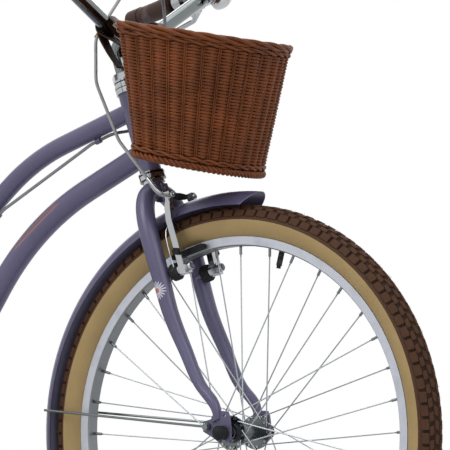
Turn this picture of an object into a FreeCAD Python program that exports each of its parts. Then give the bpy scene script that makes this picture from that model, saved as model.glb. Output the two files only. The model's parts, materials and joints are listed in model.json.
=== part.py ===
import FreeCAD, Part
import math
import os

V = FreeCAD.Vector

# Beach cruiser bicycle, in millimetres and degrees.
# X points forward, Y to the rider's left, Z up from the ground.

# wheels
TREAD_THICKNESS = 4.5
RIM_RADIUS = 285.5
TYRE_HEIGHT = 46.0
TYRE_SECTORS = 36
RIM_WIDTH = 25.0
RIM_HEIGHT = 14.0
RIM_BASE = 4.0
SPOKE_COUNT = 36
SPOKE_CROSSES = 3
SPOKE_RADIUS = 1.0
NIPPLE_RADIUS = 2.1
FLANGE_RADIUS = 25.0
FLANGE_THICKNESS = 3.0
FLANGE_OFFSET = 32.0
HUB_BARREL_RADIUS = 11.0
VALVE_ANGLE = 15.0
AXLE_RADIUS = 4.75
FLANGE_LIP = 1.5
VALVE_RADIUS = 4.2
SPOKE_DRIFT = 1.7
CUP_BORE = 12.2
HUB_BOSS = 15.0
AXLE_BORE = 6.2
CONE_RADIUS = 7.6
CUP_DEPTH = 6.0
CAP_RADIUS = 10.5
CAP_END = 72.0
REAR_FLANGE_LEFT = 36.0
REAR_FLANGE_RIGHT = 26.0
REAR_END_LEFT = 46.0
REAR_END_RIGHT = 52.0

# steering
HEAD_TILT = 18.1
AXIS_OFFSET = 34.5
HEAD_ABOVE_FENDER = 34.0
HEAD_RISE = 121.0
HEAD_RADIUS = 16.5
FORK_LEG_RADIUS = 14.0
FORK_BEND_HEIGHT = 150.0
FRONT_AXLE_HALF = 50.0
STEERER_RADIUS = 12.7
CUP_RADIUS = 20.0
CUP_HEIGHT = 12.0
QUILL_RADIUS = 11.1
TIP_UP = 20.0
DROPOUT = 4.5
FREE_EYE = (3.5, 24.0)
STAY_EYE = (-26.0, 9.0)
CROWN_HOLE = 3.1

# frame
UPPER_TUBE_RADIUS = 14.3
UPPER_BELOW_HEAD = 25.8
LOWER_ABOVE_FOOT = 30.5
LOWER_TUBE_RADIUS = 17.45
SEAT_TUBE_RADIUS = 15.9
TUBE_WALL = 1.6
BRACKET_BACK = 625.0
BRACKET_DROP = 36.0
SHELL_RADIUS = 28.5
SHELL_BORE = 25.6
SHELL_HALF = 34.0
SEAT_ANGLE = 70.0
SEAT_TUBE_LENGTH = 420.0
STAY_RADIUS = 8.0
REAR_AXLE_HALF = 60.0
UPPER_BEND = 330.0
LOWER_BEND = 430.0
UPPER_JOIN = 0.475
DROPOUT_PLATE = 5.0
STAY_TOP = 0.93
CHAIN_STAY_RADIUS = 8.5
EYELET_BORE = 2.6
EYELET_BACK = -6.0
EYELET_UP = 20.0

# drive
CHAIN_PITCH = 12.7
CHAIN_LINKS = 102
RING_TEETH = 44
SPROCKET_TEETH = 18
CHAIN_LINE = 42.0
CRANK_LENGTH = 170.0
FREE_BORE = 17.0
ROLLER_RADIUS = 3.9
PIN_RADIUS = 1.8
LINK_PLATE = 1.0
INNER_GAP = 1.7
PLATE_HALF = 4.2
TOOTH_WIDTH = 2.6
CRANK_RADIUS = 10.0
ARM_Y = 66.0
PEDAL_Y = 78.0
SPINDLE_Y = 50.0
PEDAL_THREAD = 6.4
BRACKET_CONE = 15.0
BRACKET_CUP = 21.6
PEDAL_LENGTH = 88.0
PEDAL_WIDTH = 92.0
PEDAL_THICK = 26.0
SPINDLE_R = 4.5
GUARD_Y = 51.0
GUARD_SHEET = 1.2

# cockpit and seat
BAR_RADIUS = 11.1
BAR_ABOVE_HEAD = 84.7
BAR_CLAMP_FORWARD = 34.0
GRIP_RADIUS = 16.0
GRIP_LENGTH = 125.0
SADDLE_LENGTH = 268.0
SADDLE_WIDTH = 226.0
SADDLE_HEIGHT = 935.0
SPRING_TURNS = 5
SPRING_WIRE = 2.2
SPRING_RADIUS = 17.0
BAR_RISE = 0.508
BAR_FLAT = 40.0
BAR_CORNER = 235.0
BAR_END = V(-235, 335, 72)
QUILL_DEPTH = 70.0
STEM_CLAMP = 16.5
STEM_HALF = 23.0
BELL_ACROSS = 200.0
BELL_RADIUS = 24.0
SEAT_INSERT = 130.0
SADDLE_DROP = 88.0
RAIL_Y = 22.0
RAIL_RADIUS = 3.5
PAN_UP = 34.0
PAN_THICK = 2.0
SADDLE_BACK = 30.0
SPRING_X = -96.0
SPRING_Y = 56.0

# fenders
FENDER_GAP = 20.5
FENDER_HALF_WIDTH = 30.0
FENDER_DEPTH = 21.0
FENDER_SHEET = 1.2
FRONT_TIP = 36.0
FRONT_SHOULDER = 11.0
FRONT_FENDER_BACK = 128.0
FRONT_FENDER_AHEAD = 10.0
TAB_HALF = 8.0
REAR_FENDER_FRONT = 84.0
REAR_FENDER_BACK = 106.0
STAY_WIRE = 2.0

# basket
BASKET_WIDTH = 300.0
BASKET_DEPTH = 192.0
BASKET_FOOT_WIDTH = 234.0
BASKET_FOOT_DEPTH = 134.0
BASKET_HEIGHT = 203.0
BASKET_WALL = 7.0
BASKET_TILT = 8.5
BASKET_AHEAD = 44.7
BASKET_LIFT = 5.5
BASKET_SHIFT = -17.0
BASKET_FLOOR = 7.0
BASKET_STAKES = 48
BASKET_ROWS = 18
WEAVE_RELIEF = 1.6
BORDER_PROUD = 3.5
RIM_BORDER = 13.0
FOOT_BORDER = 11.0
STRAP_Y = 62.0
STRAP_WIDTH = 20.0
STRAP_THICK = 2.5

# brakes
BOSS_BELOW_RIM = 34.0
BRAKE_ARM = 113.5
PAD_GAP = 1.5
POST_RADIUS = 4.0
POST_Y = 40.0
ARM_THICKNESS = 10.0
POST_LENGTH = 52.0
ARM_BACK = 33.0
PAD_THICK = 9.0
PAD_LENGTH = 58.0
PAD_HEIGHT = 8.0
STUD_RADIUS = 3.0
LEVER_DROP = math.radians(35)
PIVOT_OUT = 30.0
PIVOT_PIN = 2.5
BARREL_OUT = 23.0
BARREL_LENGTH = 18.0
PERCH_HALF = 11.0

# small clearances
RUNNING = 0.05
CLEAR = 0.4

# cables
CABLE_RADIUS = 2.5
GUIDE_OUTER = 4.6
GUIDE_LENGTH = 9.0
GUIDE_SHARES = [0.125, 0.5, 0.78]
WIRE_RADIUS = 0.8
REAR_CABLE_Y = 22.0

# stand
STAND_PIN = 5.0
LEG_RADIUS = 8.0
FOOT_SPREAD = 128.0
KNEE_Y = 35.5
SHIN_Y = 58.0
FOOT_AHEAD = 20.0

# sizes worked out from these
TYRE_RADIUS = RIM_RADIUS + TYRE_HEIGHT
FENDER_RADIUS = TYRE_RADIUS + FENDER_GAP
HEAD_LOW = FENDER_RADIUS + HEAD_ABOVE_FENDER
HEAD_HIGH = HEAD_LOW + HEAD_RISE
BOSS_RADIUS = RIM_RADIUS - BOSS_BELOW_RIM


def unit(vector):
    return V(vector).normalize()


def cyl(start, direction, radius, length):
    return Part.makeCylinder(radius, length, start, direction)


def ring(start, direction, outer, inner, length):
    along = unit(direction)
    return cyl(start, along, outer, length).cut(cyl(start - along, along, inner, length + 2))


def hexagon(start, direction, across, length):
    along = unit(direction)
    side = along.cross(V(0.31, 0.52, 0.79)).normalize()
    other = along.cross(side)
    corner = across / math.sqrt(3)
    points = []
    for i in range(7):
        turn = math.radians(60 * i)
        points.append(start + side * (corner * math.cos(turn)) + other * (corner * math.sin(turn)))
    return Part.Face(Part.makePolygon(points)).extrude(along * length)


def rounded_path(points, radii):
    edges = []
    last = points[0]
    for i in range(1, len(points) - 1):
        back = unit(points[i - 1] - points[i])
        ahead = unit(points[i + 1] - points[i])
        half = back.getAngle(ahead) / 2
        radius = radii[i - 1]
        if math.pi / 2 - half < 0.002:
            continue
        reach = radius / math.tan(half)
        start = points[i] + back * reach
        end = points[i] + ahead * reach
        middle = unit(back + ahead)
        bulge = points[i] + middle * (radius / math.sin(half) - radius)
        if (start - last).Length > 0.001:
            edges.append(Part.LineSegment(last, start).toShape())
        edges.append(Part.Arc(start, bulge, end).toShape())
        last = end
    if (points[-1] - last).Length > 0.001:
        edges.append(Part.LineSegment(last, points[-1]).toShape())
    return Part.Wire(edges)


def rod(path, radius):
    first = path.Edges[0]
    start = first.valueAt(first.FirstParameter)
    heading = first.tangentAt(first.FirstParameter)
    circle = Part.Wire(Part.Circle(start, heading, radius).toShape())
    return path.makePipeShell([circle], True, False)


def hollow(path, radius, wall):
    return rod(path, radius).cut(rod(path, radius - wall))


def taper(stations):
    wires = []
    for point, heading, radius in stations:
        wires.append(Part.Wire(Part.Circle(point, heading, radius).toShape()))
    return Part.makeLoft(wires, True, False)


def flat(points, depth):
    return Part.Face(Part.makePolygon(points + [points[0]])).extrude(depth)


def spun(profile, centre, angle=360):
    shape = Part.Face(profile).revolve(V(0, 0, 0), V(0, 1, 0), angle)
    shape.translate(centre)
    return shape


def spun_points(pairs, centre):
    points = [V(0, across, radius) for across, radius in pairs]
    return spun(Part.makePolygon(points + [points[0]]), centre)


def turned(shape, centre, axis, angle):
    copy = shape.copy()
    copy.rotate(centre, axis, angle)
    return copy


def mirrored(shape):
    return shape.mirror(V(0, 0, 0), V(0, 1, 0))


def joined(shapes):
    result = shapes[0]
    if len(shapes) > 1:
        result = shapes[0].multiFuse(shapes[1:])
    return result.removeSplitter()


def group(shapes):
    solids = []
    for shape in shapes:
        solids.extend(shape.Solids)
    if len(solids) == 1:
        return solids[0]
    return Part.Compound(solids)


NODES = {}


def keep(name, shapes):
    NODES[name] = group(shapes if isinstance(shapes, list) else [shapes])


# chain line: the axle distance that makes the loop a whole number of links
RING_RADIUS = CHAIN_PITCH / (2 * math.sin(math.pi / RING_TEETH))
SPROCKET_RADIUS = CHAIN_PITCH / (2 * math.sin(math.pi / SPROCKET_TEETH))


def loop_length(distance):
    lean = math.asin((RING_RADIUS - SPROCKET_RADIUS) / distance)
    straight = 2 * distance * math.cos(lean)
    return straight + RING_RADIUS * (math.pi + 2 * lean) + SPROCKET_RADIUS * (math.pi - 2 * lean)


low, high = 250.0, 900.0
for step in range(60):
    CHAIN_STAY = (low + high) / 2
    if loop_length(CHAIN_STAY) < CHAIN_LINKS * CHAIN_PITCH:
        low = CHAIN_STAY
    else:
        high = CHAIN_STAY

STAY_RUN = math.sqrt(CHAIN_STAY ** 2 - BRACKET_DROP ** 2)
WHEELBASE = BRACKET_BACK + STAY_RUN
FRONT_X = (WHEELBASE + FENDER_RADIUS - TYRE_RADIUS) / 2
FRONT = V(FRONT_X, 0, TYRE_RADIUS)
REAR = V(FRONT_X - WHEELBASE, 0, TYRE_RADIUS)
BRACKET = V(FRONT_X - BRACKET_BACK, 0, TYRE_RADIUS - BRACKET_DROP)
ACROSS = V(0, 1, 0)


def at(back, across, up):
    return FRONT + V(back, across, up)


# steering axis
TILT = math.radians(HEAD_TILT)
AXIS = V(-math.sin(TILT), 0, math.cos(TILT))
AHEAD = V(math.cos(TILT), 0, math.sin(TILT))


def on_axis(up):
    return at(-AXIS_OFFSET - up * math.tan(TILT), 0, up)


HEAD_FOOT = on_axis(HEAD_LOW)
HEAD_TOP = on_axis(HEAD_HIGH)
HEAD_LENGTH = (HEAD_TOP - HEAD_FOOT).Length
RAKE = AXIS_OFFSET * math.cos(TILT)


def by_head(back, across, up):
    return HEAD_FOOT + V(back, across, up)


# frame tubes
SEAT_LEAN = math.radians(SEAT_ANGLE)
SEAT_DIRECTION = V(-math.cos(SEAT_LEAN), 0, math.sin(SEAT_LEAN))
SEAT_TUBE_TOP = BRACKET + SEAT_DIRECTION * SEAT_TUBE_LENGTH
head_outer = cyl(HEAD_FOOT, AXIS, HEAD_RADIUS, HEAD_LENGTH)
keep("head_tube", ring(HEAD_FOOT, AXIS, HEAD_RADIUS, HEAD_RADIUS - TUBE_WALL, HEAD_LENGTH))

UPPER_START = on_axis(HEAD_HIGH - UPPER_BELOW_HEAD)
UPPER_VERTEX = by_head(-219.2, 0, 29.8)
LOWER_START = on_axis(HEAD_LOW + LOWER_ABOVE_FOOT)
LOWER_VERTEX = by_head(-220.0, 0, -69.6)
upper_end = BRACKET + SEAT_DIRECTION * (SEAT_TUBE_LENGTH * UPPER_JOIN)
seat_solid = cyl(BRACKET, SEAT_DIRECTION, SEAT_TUBE_RADIUS, SEAT_TUBE_LENGTH)
shell_solid = cyl(BRACKET - ACROSS * SHELL_HALF, ACROSS, SHELL_RADIUS, 2 * SHELL_HALF)

upper_path = rounded_path([UPPER_START, UPPER_VERTEX, upper_end], [UPPER_BEND])
lower_path = rounded_path([LOWER_START, LOWER_VERTEX, BRACKET], [LOWER_BEND])
lower_solid = rod(lower_path, LOWER_TUBE_RADIUS)
upper_tube = hollow(upper_path, UPPER_TUBE_RADIUS, TUBE_WALL).cut(head_outer).cut(seat_solid)
upper_tube = max(upper_tube.Solids, key=lambda s: s.Volume)
lower_tube = hollow(lower_path, LOWER_TUBE_RADIUS, TUBE_WALL)
lower_tube = lower_tube.cut(head_outer).cut(shell_solid).cut(seat_solid)
lower_tube = max(lower_tube.Solids, key=lambda s: s.Volume)

seat_bore = cyl(BRACKET, SEAT_DIRECTION, SEAT_TUBE_RADIUS - TUBE_WALL, SEAT_TUBE_LENGTH + 1)
seat_tube = seat_solid.cut(seat_bore).cut(shell_solid)
seat_tube = max(seat_tube.Solids, key=lambda s: s.Volume)
shell = ring(BRACKET - ACROSS * SHELL_HALF, ACROSS, SHELL_RADIUS, SHELL_BORE, 2 * SHELL_HALF)
seat_slot_top = SEAT_TUBE_TOP - SEAT_DIRECTION * 30
seat_slot = Part.makeBox(SEAT_TUBE_RADIUS * 2, 2.4, 60)
seat_slot.translate(V(-SEAT_TUBE_RADIUS * 2, -1.2, 0))
seat_slot.rotate(V(0, 0, 0), ACROSS, -(90 - SEAT_ANGLE))
seat_slot.translate(seat_slot_top)
keep("seat_tube", joined([seat_tube, shell]).cut(seat_slot))


# a cable guide ring under a tube, at a share of its path
def path_frame(path, share):
    target = path.Length * share
    for edge in path.Edges:
        if target <= edge.Length or edge.isSame(path.Edges[-1]):
            spot = edge.getParameterByLength(min(target, edge.Length))
            heading = unit(edge.tangentAt(spot))
            return edge.valueAt(spot), heading
        target -= edge.Length


GUIDE_DROP = UPPER_TUBE_RADIUS + GUIDE_OUTER - 0.6
guide_spots = []
guides = []
upper_outer = rod(upper_path, UPPER_TUBE_RADIUS)
for share in GUIDE_SHARES:
    spot, heading = path_frame(upper_path, share)
    if heading.x > 0:
        heading = -heading
    under = heading.cross(ACROSS).normalize()
    if under.z > 0:
        under = -under
    centre = spot + under * GUIDE_DROP
    guide_spots.append((centre, heading))
    guides.append(cyl(centre - heading * GUIDE_LENGTH / 2, heading, GUIDE_OUTER, GUIDE_LENGTH))
upper_tube = joined([upper_tube] + [guide.cut(upper_outer) for guide in guides])
for centre, heading in guide_spots:
    upper_tube = upper_tube.cut(cyl(centre - heading * 20, heading, CABLE_RADIUS + 0.02, 40))
keep("upper_tube", upper_tube)
keep("lower_tube", lower_tube.cut(upper_outer))

# rear triangle
DROPOUT_Y = REAR_AXLE_HALF + DROPOUT_PLATE / 2
stay_top = BRACKET + SEAT_DIRECTION * (SEAT_TUBE_LENGTH * STAY_TOP)
STAY_FOOT = REAR + V(16, 0, 24)
REAR_UP = unit(V(stay_top.x - STAY_FOOT.x, 0, stay_top.z - STAY_FOOT.z))
REAR_OUT = V(-REAR_UP.z, 0, REAR_UP.x)
stay_span = (stay_top - STAY_FOOT).Length
stay_elbow = STAY_FOOT + REAR_UP * (stay_span * 0.80)


def stays(side):
    upper = rounded_path(
        [stay_top + ACROSS * (side * 9), V(stay_elbow.x, side * 47, stay_elbow.z),
         V(STAY_FOOT.x, side * DROPOUT_Y, STAY_FOOT.z)], [60])
    lower = rounded_path(
        [BRACKET + V(-10, side * 20, 0), BRACKET + V(-92, side * 25, 6),
         BRACKET + V(-145, side * 46, 12), REAR + V(30, side * DROPOUT_Y, -4)], [60, 60])
    plate_y = side * DROPOUT_Y - DROPOUT_PLATE / 2
    outline = [V(14, 0, 34), V(26, 0, 28), V(44, 0, 4), V(42, 0, -12), V(12, 0, -14),
               V(-14, 0, -13), V(-17, 0, 6), V(-14, 0, 22), V(2, 0, 34)]
    plate = flat([REAR + V(p.x, plate_y, p.z) for p in outline], V(0, DROPOUT_PLATE, 0))
    slot = cyl(REAR + V(0, plate_y - 1, 0), ACROSS, AXLE_RADIUS + 0.1, DROPOUT_PLATE + 2)
    mouth = Part.makeBox(30, DROPOUT_PLATE + 2, 2 * AXLE_RADIUS + 0.2)
    mouth.translate(REAR + V(-30, plate_y - 1, -AXLE_RADIUS - 0.1))
    eyelet = cyl(REAR + V(EYELET_BACK, plate_y - 1, EYELET_UP), ACROSS, EYELET_BORE, DROPOUT_PLATE + 2)
    body = [rod(upper, STAY_RADIUS), rod(lower, CHAIN_STAY_RADIUS), plate]
    return body, [slot, mouth, eyelet]


stay_parts, stay_cuts = [], []
for side in (1, -1):
    body, cuts = stays(side)
    stay_parts += body
    stay_cuts += cuts
stay_bridge = cyl(BRACKET + V(-82, -18, 6), ACROSS, 7, 36)
BRAKE_BRIDGE = STAY_FOOT + REAR_UP * (stay_span * 0.86)
stay_parts += [stay_bridge, cyl(BRAKE_BRIDGE - ACROSS * 33, ACROSS, 5, 66)]

# brake in its own frame: X off the wheel plane of the posts, Y across, Z away from the axle
PAD_TRACK = RIM_RADIUS - RIM_HEIGHT * 0.58


def brake_place(shape, axle, out, up):
    across = up.cross(out)
    matrix = FreeCAD.Matrix(out.x, across.x, up.x, axle.x, out.y, across.y, up.y, axle.y,
                            out.z, across.z, up.z, axle.z, 0, 0, 0, 1)
    copy = shape.copy()
    copy.transformShape(matrix)
    return copy


def brake_post(leg_x, side):
    return cyl(V(leg_x, side * POST_Y, BOSS_RADIUS), V(1, 0, 0), POST_RADIUS, POST_LENGTH)


CABLE_UP = BOSS_RADIUS + BRAKE_ARM


def brake_arm(leg_x, side):
    x0 = leg_x + ARM_BACK
    outline = [(POST_Y - 9, -8), (POST_Y - 8, 9), (POST_Y - 5, 40), (POST_Y - 2, 80),
               (POST_Y - 12, BRAKE_ARM - 7), (POST_Y - 16, BRAKE_ARM - 3), (POST_Y - 16, BRAKE_ARM + 6),
               (POST_Y - 6, BRAKE_ARM + 6), (POST_Y - 6, BRAKE_ARM - 5), (POST_Y + 2, BRAKE_ARM - 16),
               (POST_Y + 8, 76),
               (POST_Y + 8, 40), (POST_Y + 9, 9), (POST_Y + 9, -8)]
    plate = flat([V(x0, side * y, BOSS_RADIUS + z) for y, z in outline], V(ARM_THICKNESS, 0, 0))
    barrel = cyl(V(x0 - 4, side * POST_Y, BOSS_RADIUS), V(1, 0, 0), 9.0, ARM_THICKNESS + 6)
    body = joined([plate, barrel])
    bore = cyl(V(x0 - 20, side * POST_Y, BOSS_RADIUS), V(1, 0, 0), POST_RADIUS + RUNNING, 60)
    pad_z = pad_height(leg_x)
    stud = cyl(V(pad_x(leg_x), side * (PAD_FACE + PAD_THICK - 1), pad_z), V(0, side, 0),
               STUD_RADIUS + 0.05, 60)
    cable = cyl(V(pad_x(leg_x), -80, CABLE_UP), ACROSS, WIRE_RADIUS + 0.4, 160)
    return body.cut(bore).cut(stud).cut(cable)


PAD_FACE = RIM_WIDTH / 2 + PAD_GAP


def pad_x(leg_x):
    return leg_x + ARM_BACK + ARM_THICKNESS / 2


def pad_height(leg_x):
    return math.sqrt(PAD_TRACK ** 2 - pad_x(leg_x) ** 2)


def brake_pad(leg_x, side):
    x, z = pad_x(leg_x), pad_height(leg_x)
    lean = math.degrees(math.asin(x / PAD_TRACK))
    block = Part.makeBox(PAD_LENGTH, PAD_THICK, PAD_HEIGHT,
                         V(x - PAD_LENGTH / 2, PAD_FACE, z - PAD_HEIGHT / 2))
    block = block.makeFillet(3.0, [e for e in block.Edges if abs(e.tangentAt(e.FirstParameter).y) > 0.9])
    block.rotate(V(x, 0, z), ACROSS, lean)
    stud = cyl(V(x, PAD_FACE + PAD_THICK - 0.5, z), ACROSS, STUD_RADIUS, 29)
    nut = hexagon(V(x, PAD_NUT_Y, z), ACROSS, 10, 5)
    shape = joined([block, stud, nut])
    if side < 0:
        shape = mirrored(shape)
    return shape


PAD_NUT_Y = POST_Y + 9.1

FRONT_LEG_X = -RAKE
REAR_LEG_X = (STAY_FOOT - REAR).dot(REAR_OUT)
posts = [brake_place(brake_post(REAR_LEG_X, side), REAR, REAR_OUT, REAR_UP) for side in (1, -1)]
triangle = joined(stay_parts + posts)
for cut in stay_cuts:
    triangle = triangle.cut(cut)
triangle = triangle.cut(seat_solid).cut(shell_solid)
triangle = max(triangle.Solids, key=lambda s: s.Volume)

# rear brake arms, with their pads as solids of their own
for name, side in (("rear_brake_arm_right", 1), ("rear_brake_arm_left", -1)):
    arm = brake_place(brake_arm(REAR_LEG_X, side), REAR, REAR_OUT, REAR_UP)
    pad = brake_place(brake_pad(REAR_LEG_X, side), REAR, REAR_OUT, REAR_UP)
    keep(name, [arm, pad])
for name, side in (("front_brake_{}_left", 1), ("front_brake_{}_right", -1)):
    keep(name.format("arm"), brake_place(brake_arm(FRONT_LEG_X, side), FRONT, AHEAD, AXIS))
    keep(name.format("pad"), brake_place(brake_pad(FRONT_LEG_X, side), FRONT, AHEAD, AXIS))

# headset
race = STEERER_RADIUS + CLEAR
low_cup = ring(HEAD_FOOT - AXIS * CUP_HEIGHT, AXIS, CUP_RADIUS, race, CUP_HEIGHT)
low_plug = ring(HEAD_FOOT, AXIS, HEAD_RADIUS - TUBE_WALL, race, 12)
high_cup = ring(HEAD_TOP, AXIS, CUP_RADIUS - 1, race, CUP_HEIGHT)
high_plug = ring(HEAD_TOP - AXIS * 12, AXIS, HEAD_RADIUS - TUBE_WALL, race, 12)
keep("headset_cups", [joined([low_cup, low_plug]), joined([high_cup, high_plug])])
NUT_FOOT = HEAD_TOP + AXIS * (CUP_HEIGHT + CLEAR)
top_race = ring(NUT_FOOT, AXIS, CUP_RADIUS - 2, STEERER_RADIUS, 9)
lock_nut = hexagon(NUT_FOOT + AXIS * 9, AXIS, 34, 9).cut(cyl(NUT_FOOT, AXIS, STEERER_RADIUS, 40))
CROWN_TOP = HEAD_FOOT - AXIS * (CUP_HEIGHT + CLEAR)
crown_race = ring(CROWN_TOP - AXIS * 5, AXIS, CUP_RADIUS - 3, STEERER_RADIUS, 5)
keep("headset_nuts", [top_race, lock_nut, crown_race])

# fork: steerer and two blades drawn down to the tips
STEERER_TOP = NUT_FOOT + AXIS * 18
CROWN_FOOT = CROWN_TOP - AXIS * 5
steerer = ring(CROWN_FOOT - AXIS * 14, AXIS, STEERER_RADIUS, QUILL_RADIUS,
               (STEERER_TOP - CROWN_FOOT).Length + 14)


def fork_point(out, across, up):
    return FRONT + AHEAD * out + ACROSS * across + AXIS * up


CROWN_UP = (CROWN_FOOT - FRONT).dot(AXIS)
BEND_UP = (FORK_BEND_HEIGHT + AXIS_OFFSET * math.sin(TILT) * math.cos(TILT)) / math.cos(TILT)
FORK_TIP_Y = FRONT_AXLE_HALF + DROPOUT / 2
blade_stations = [
    (-RAKE, 7.0, CROWN_UP - 15, 0.96),
    (-RAKE, 25.0, CROWN_UP - 19, 1.0),
    (-RAKE, 40.0, CROWN_UP - 37, 1.0),
    (-RAKE, 48.0, CROWN_UP - 64, 1.0),
    (-RAKE, 50.5, CROWN_UP - 105, 1.0),
    (-RAKE, 51.0, CROWN_UP - 160, 0.93),
    (-RAKE, 51.5, BEND_UP + 30, 0.86),
    (-RAKE + 3.0, 52.0, BEND_UP, 0.80),
    (-RAKE * 0.72, 52.2, BEND_UP * 0.75, 0.72),
    (-RAKE * 0.40, FORK_TIP_Y, BEND_UP * 0.42, 0.62),
    (-RAKE * 0.14, FORK_TIP_Y, TIP_UP, 0.53),
]


def blade(side):
    points = [fork_point(q, side * y, a) for q, y, a, share in blade_stations]
    wires = []
    for i, (q, y, a, share) in enumerate(blade_stations):
        before = points[max(i - 1, 0)]
        after = points[min(i + 1, len(points) - 1)]
        if i == 0:
            heading = V(0, side, 0)
        else:
            heading = unit(after - before)
        wires.append(Part.Wire(Part.Circle(points[i], heading, FORK_LEG_RADIUS * share).toShape()))
    return Part.makeLoft(wires, True, False)


def fork_dropout(side):
    y = side * FORK_TIP_Y - DROPOUT / 2
    outline = [V(-15, 0, 30), V(-6, 0, 32), V(8, 0, 31), V(11, 0, 24), V(13, 0, 8), V(13, 0, -9),
               V(7, 0, -14), V(-7, 0, -14), V(-15, 0, -8), V(-34, 0, 2), V(-34, 0, 16), V(-20, 0, 20)]
    plate = flat([FRONT + V(p.x, y, p.z) for p in outline], V(0, DROPOUT, 0))
    holes = [cyl(FRONT + V(0, y - 1, 0), ACROSS, AXLE_RADIUS + 0.1, DROPOUT + 2)]
    mouth = Part.makeBox(2 * AXLE_RADIUS + 0.2, DROPOUT + 2, 30)
    mouth.translate(FRONT + V(-AXLE_RADIUS - 0.1, y - 1, -30))
    holes.append(mouth)
    holes.append(cyl(FRONT + V(FREE_EYE[0], y - 1, FREE_EYE[1]), ACROSS, EYELET_BORE, DROPOUT + 2))
    holes.append(cyl(FRONT + V(STAY_EYE[0], y - 1, STAY_EYE[1]), ACROSS, EYELET_BORE, DROPOUT + 2))
    return plate, holes


fork_bodies, fork_cuts = [steerer], []
for side in (1, -1):
    plate, holes = fork_dropout(side)
    fork_bodies += [blade(side), plate]
    fork_bodies.append(brake_place(brake_post(FRONT_LEG_X, side), FRONT, AHEAD, AXIS))
    fork_cuts += holes
crown = cyl(fork_point(-RAKE, 0, CROWN_UP - 14), AXIS, STEERER_RADIUS + 1.5, 14)
fork = joined(fork_bodies + [crown])
fork = fork.cut(cyl(CROWN_FOOT - AXIS * 30, AXIS, QUILL_RADIUS, 300))
for hole in fork_cuts:
    fork = fork.cut(hole)
fork = fork.cut(cyl(fork_point(-RAKE - 60, 0, CROWN_UP - 13), AHEAD, CROWN_HOLE, 120))
keep("fork", fork)

# stem and handlebar
BAR_CLAMP_HEIGHT = HEAD_HIGH + BAR_ABOVE_HEAD
CLAMP = on_axis(BAR_CLAMP_HEIGHT) + V(BAR_CLAMP_FORWARD, 0, 0)
bar_corner = V(0, BAR_CORNER, (BAR_CORNER - BAR_FLAT) * BAR_RISE)


def side_of(vector, side):
    return V(vector.x, vector.y * side, vector.z)


bar_points = [CLAMP + side_of(BAR_END, -1), CLAMP + side_of(bar_corner, -1), CLAMP + V(0, -BAR_FLAT, 0),
              CLAMP + V(0, BAR_FLAT, 0), CLAMP + bar_corner, CLAMP + BAR_END]
bar_path = rounded_path(bar_points, [90, 60, 60, 90])
bar_solid = rod(bar_path, BAR_RADIUS)
keep("handlebar", hollow(bar_path, BAR_RADIUS, 2.0))
quill_foot = STEERER_TOP - AXIS * QUILL_DEPTH
stem_top = on_axis(BAR_CLAMP_HEIGHT - 4)
stem_path = rounded_path([quill_foot, stem_top, CLAMP], [20])
stem_clamp = cyl(CLAMP - ACROSS * STEM_HALF, ACROSS, STEM_CLAMP, 2 * STEM_HALF)
stem = joined([rod(stem_path, QUILL_RADIUS), stem_clamp]).cut(bar_solid)
stem_bolt = hexagon(CLAMP + V(6, -5, -STEM_CLAMP - 3), V(0, 0, 1), 8, 6)
stem_bolt_two = hexagon(CLAMP + V(6, 5, -STEM_CLAMP - 3), V(0, 0, 1), 8, 6)
keep("stem", [stem] + [bolt.cut(stem) for bolt in (stem_bolt, stem_bolt_two)])

grip_way = unit(BAR_END - bar_corner)


def lever_frame(side):
    along = side_of(grip_way, side)
    outward = V(-along.y * side, along.x * side, 0)
    if outward.y * side < 0:
        outward = -outward
    outward = unit(outward)
    down = along.cross(outward)
    if down.z > 0:
        down = -down
    reach = unit(outward * math.cos(LEVER_DROP) + down * math.sin(LEVER_DROP))
    reach = unit(reach - along * reach.dot(along))
    return along, reach, along.cross(reach)


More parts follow.
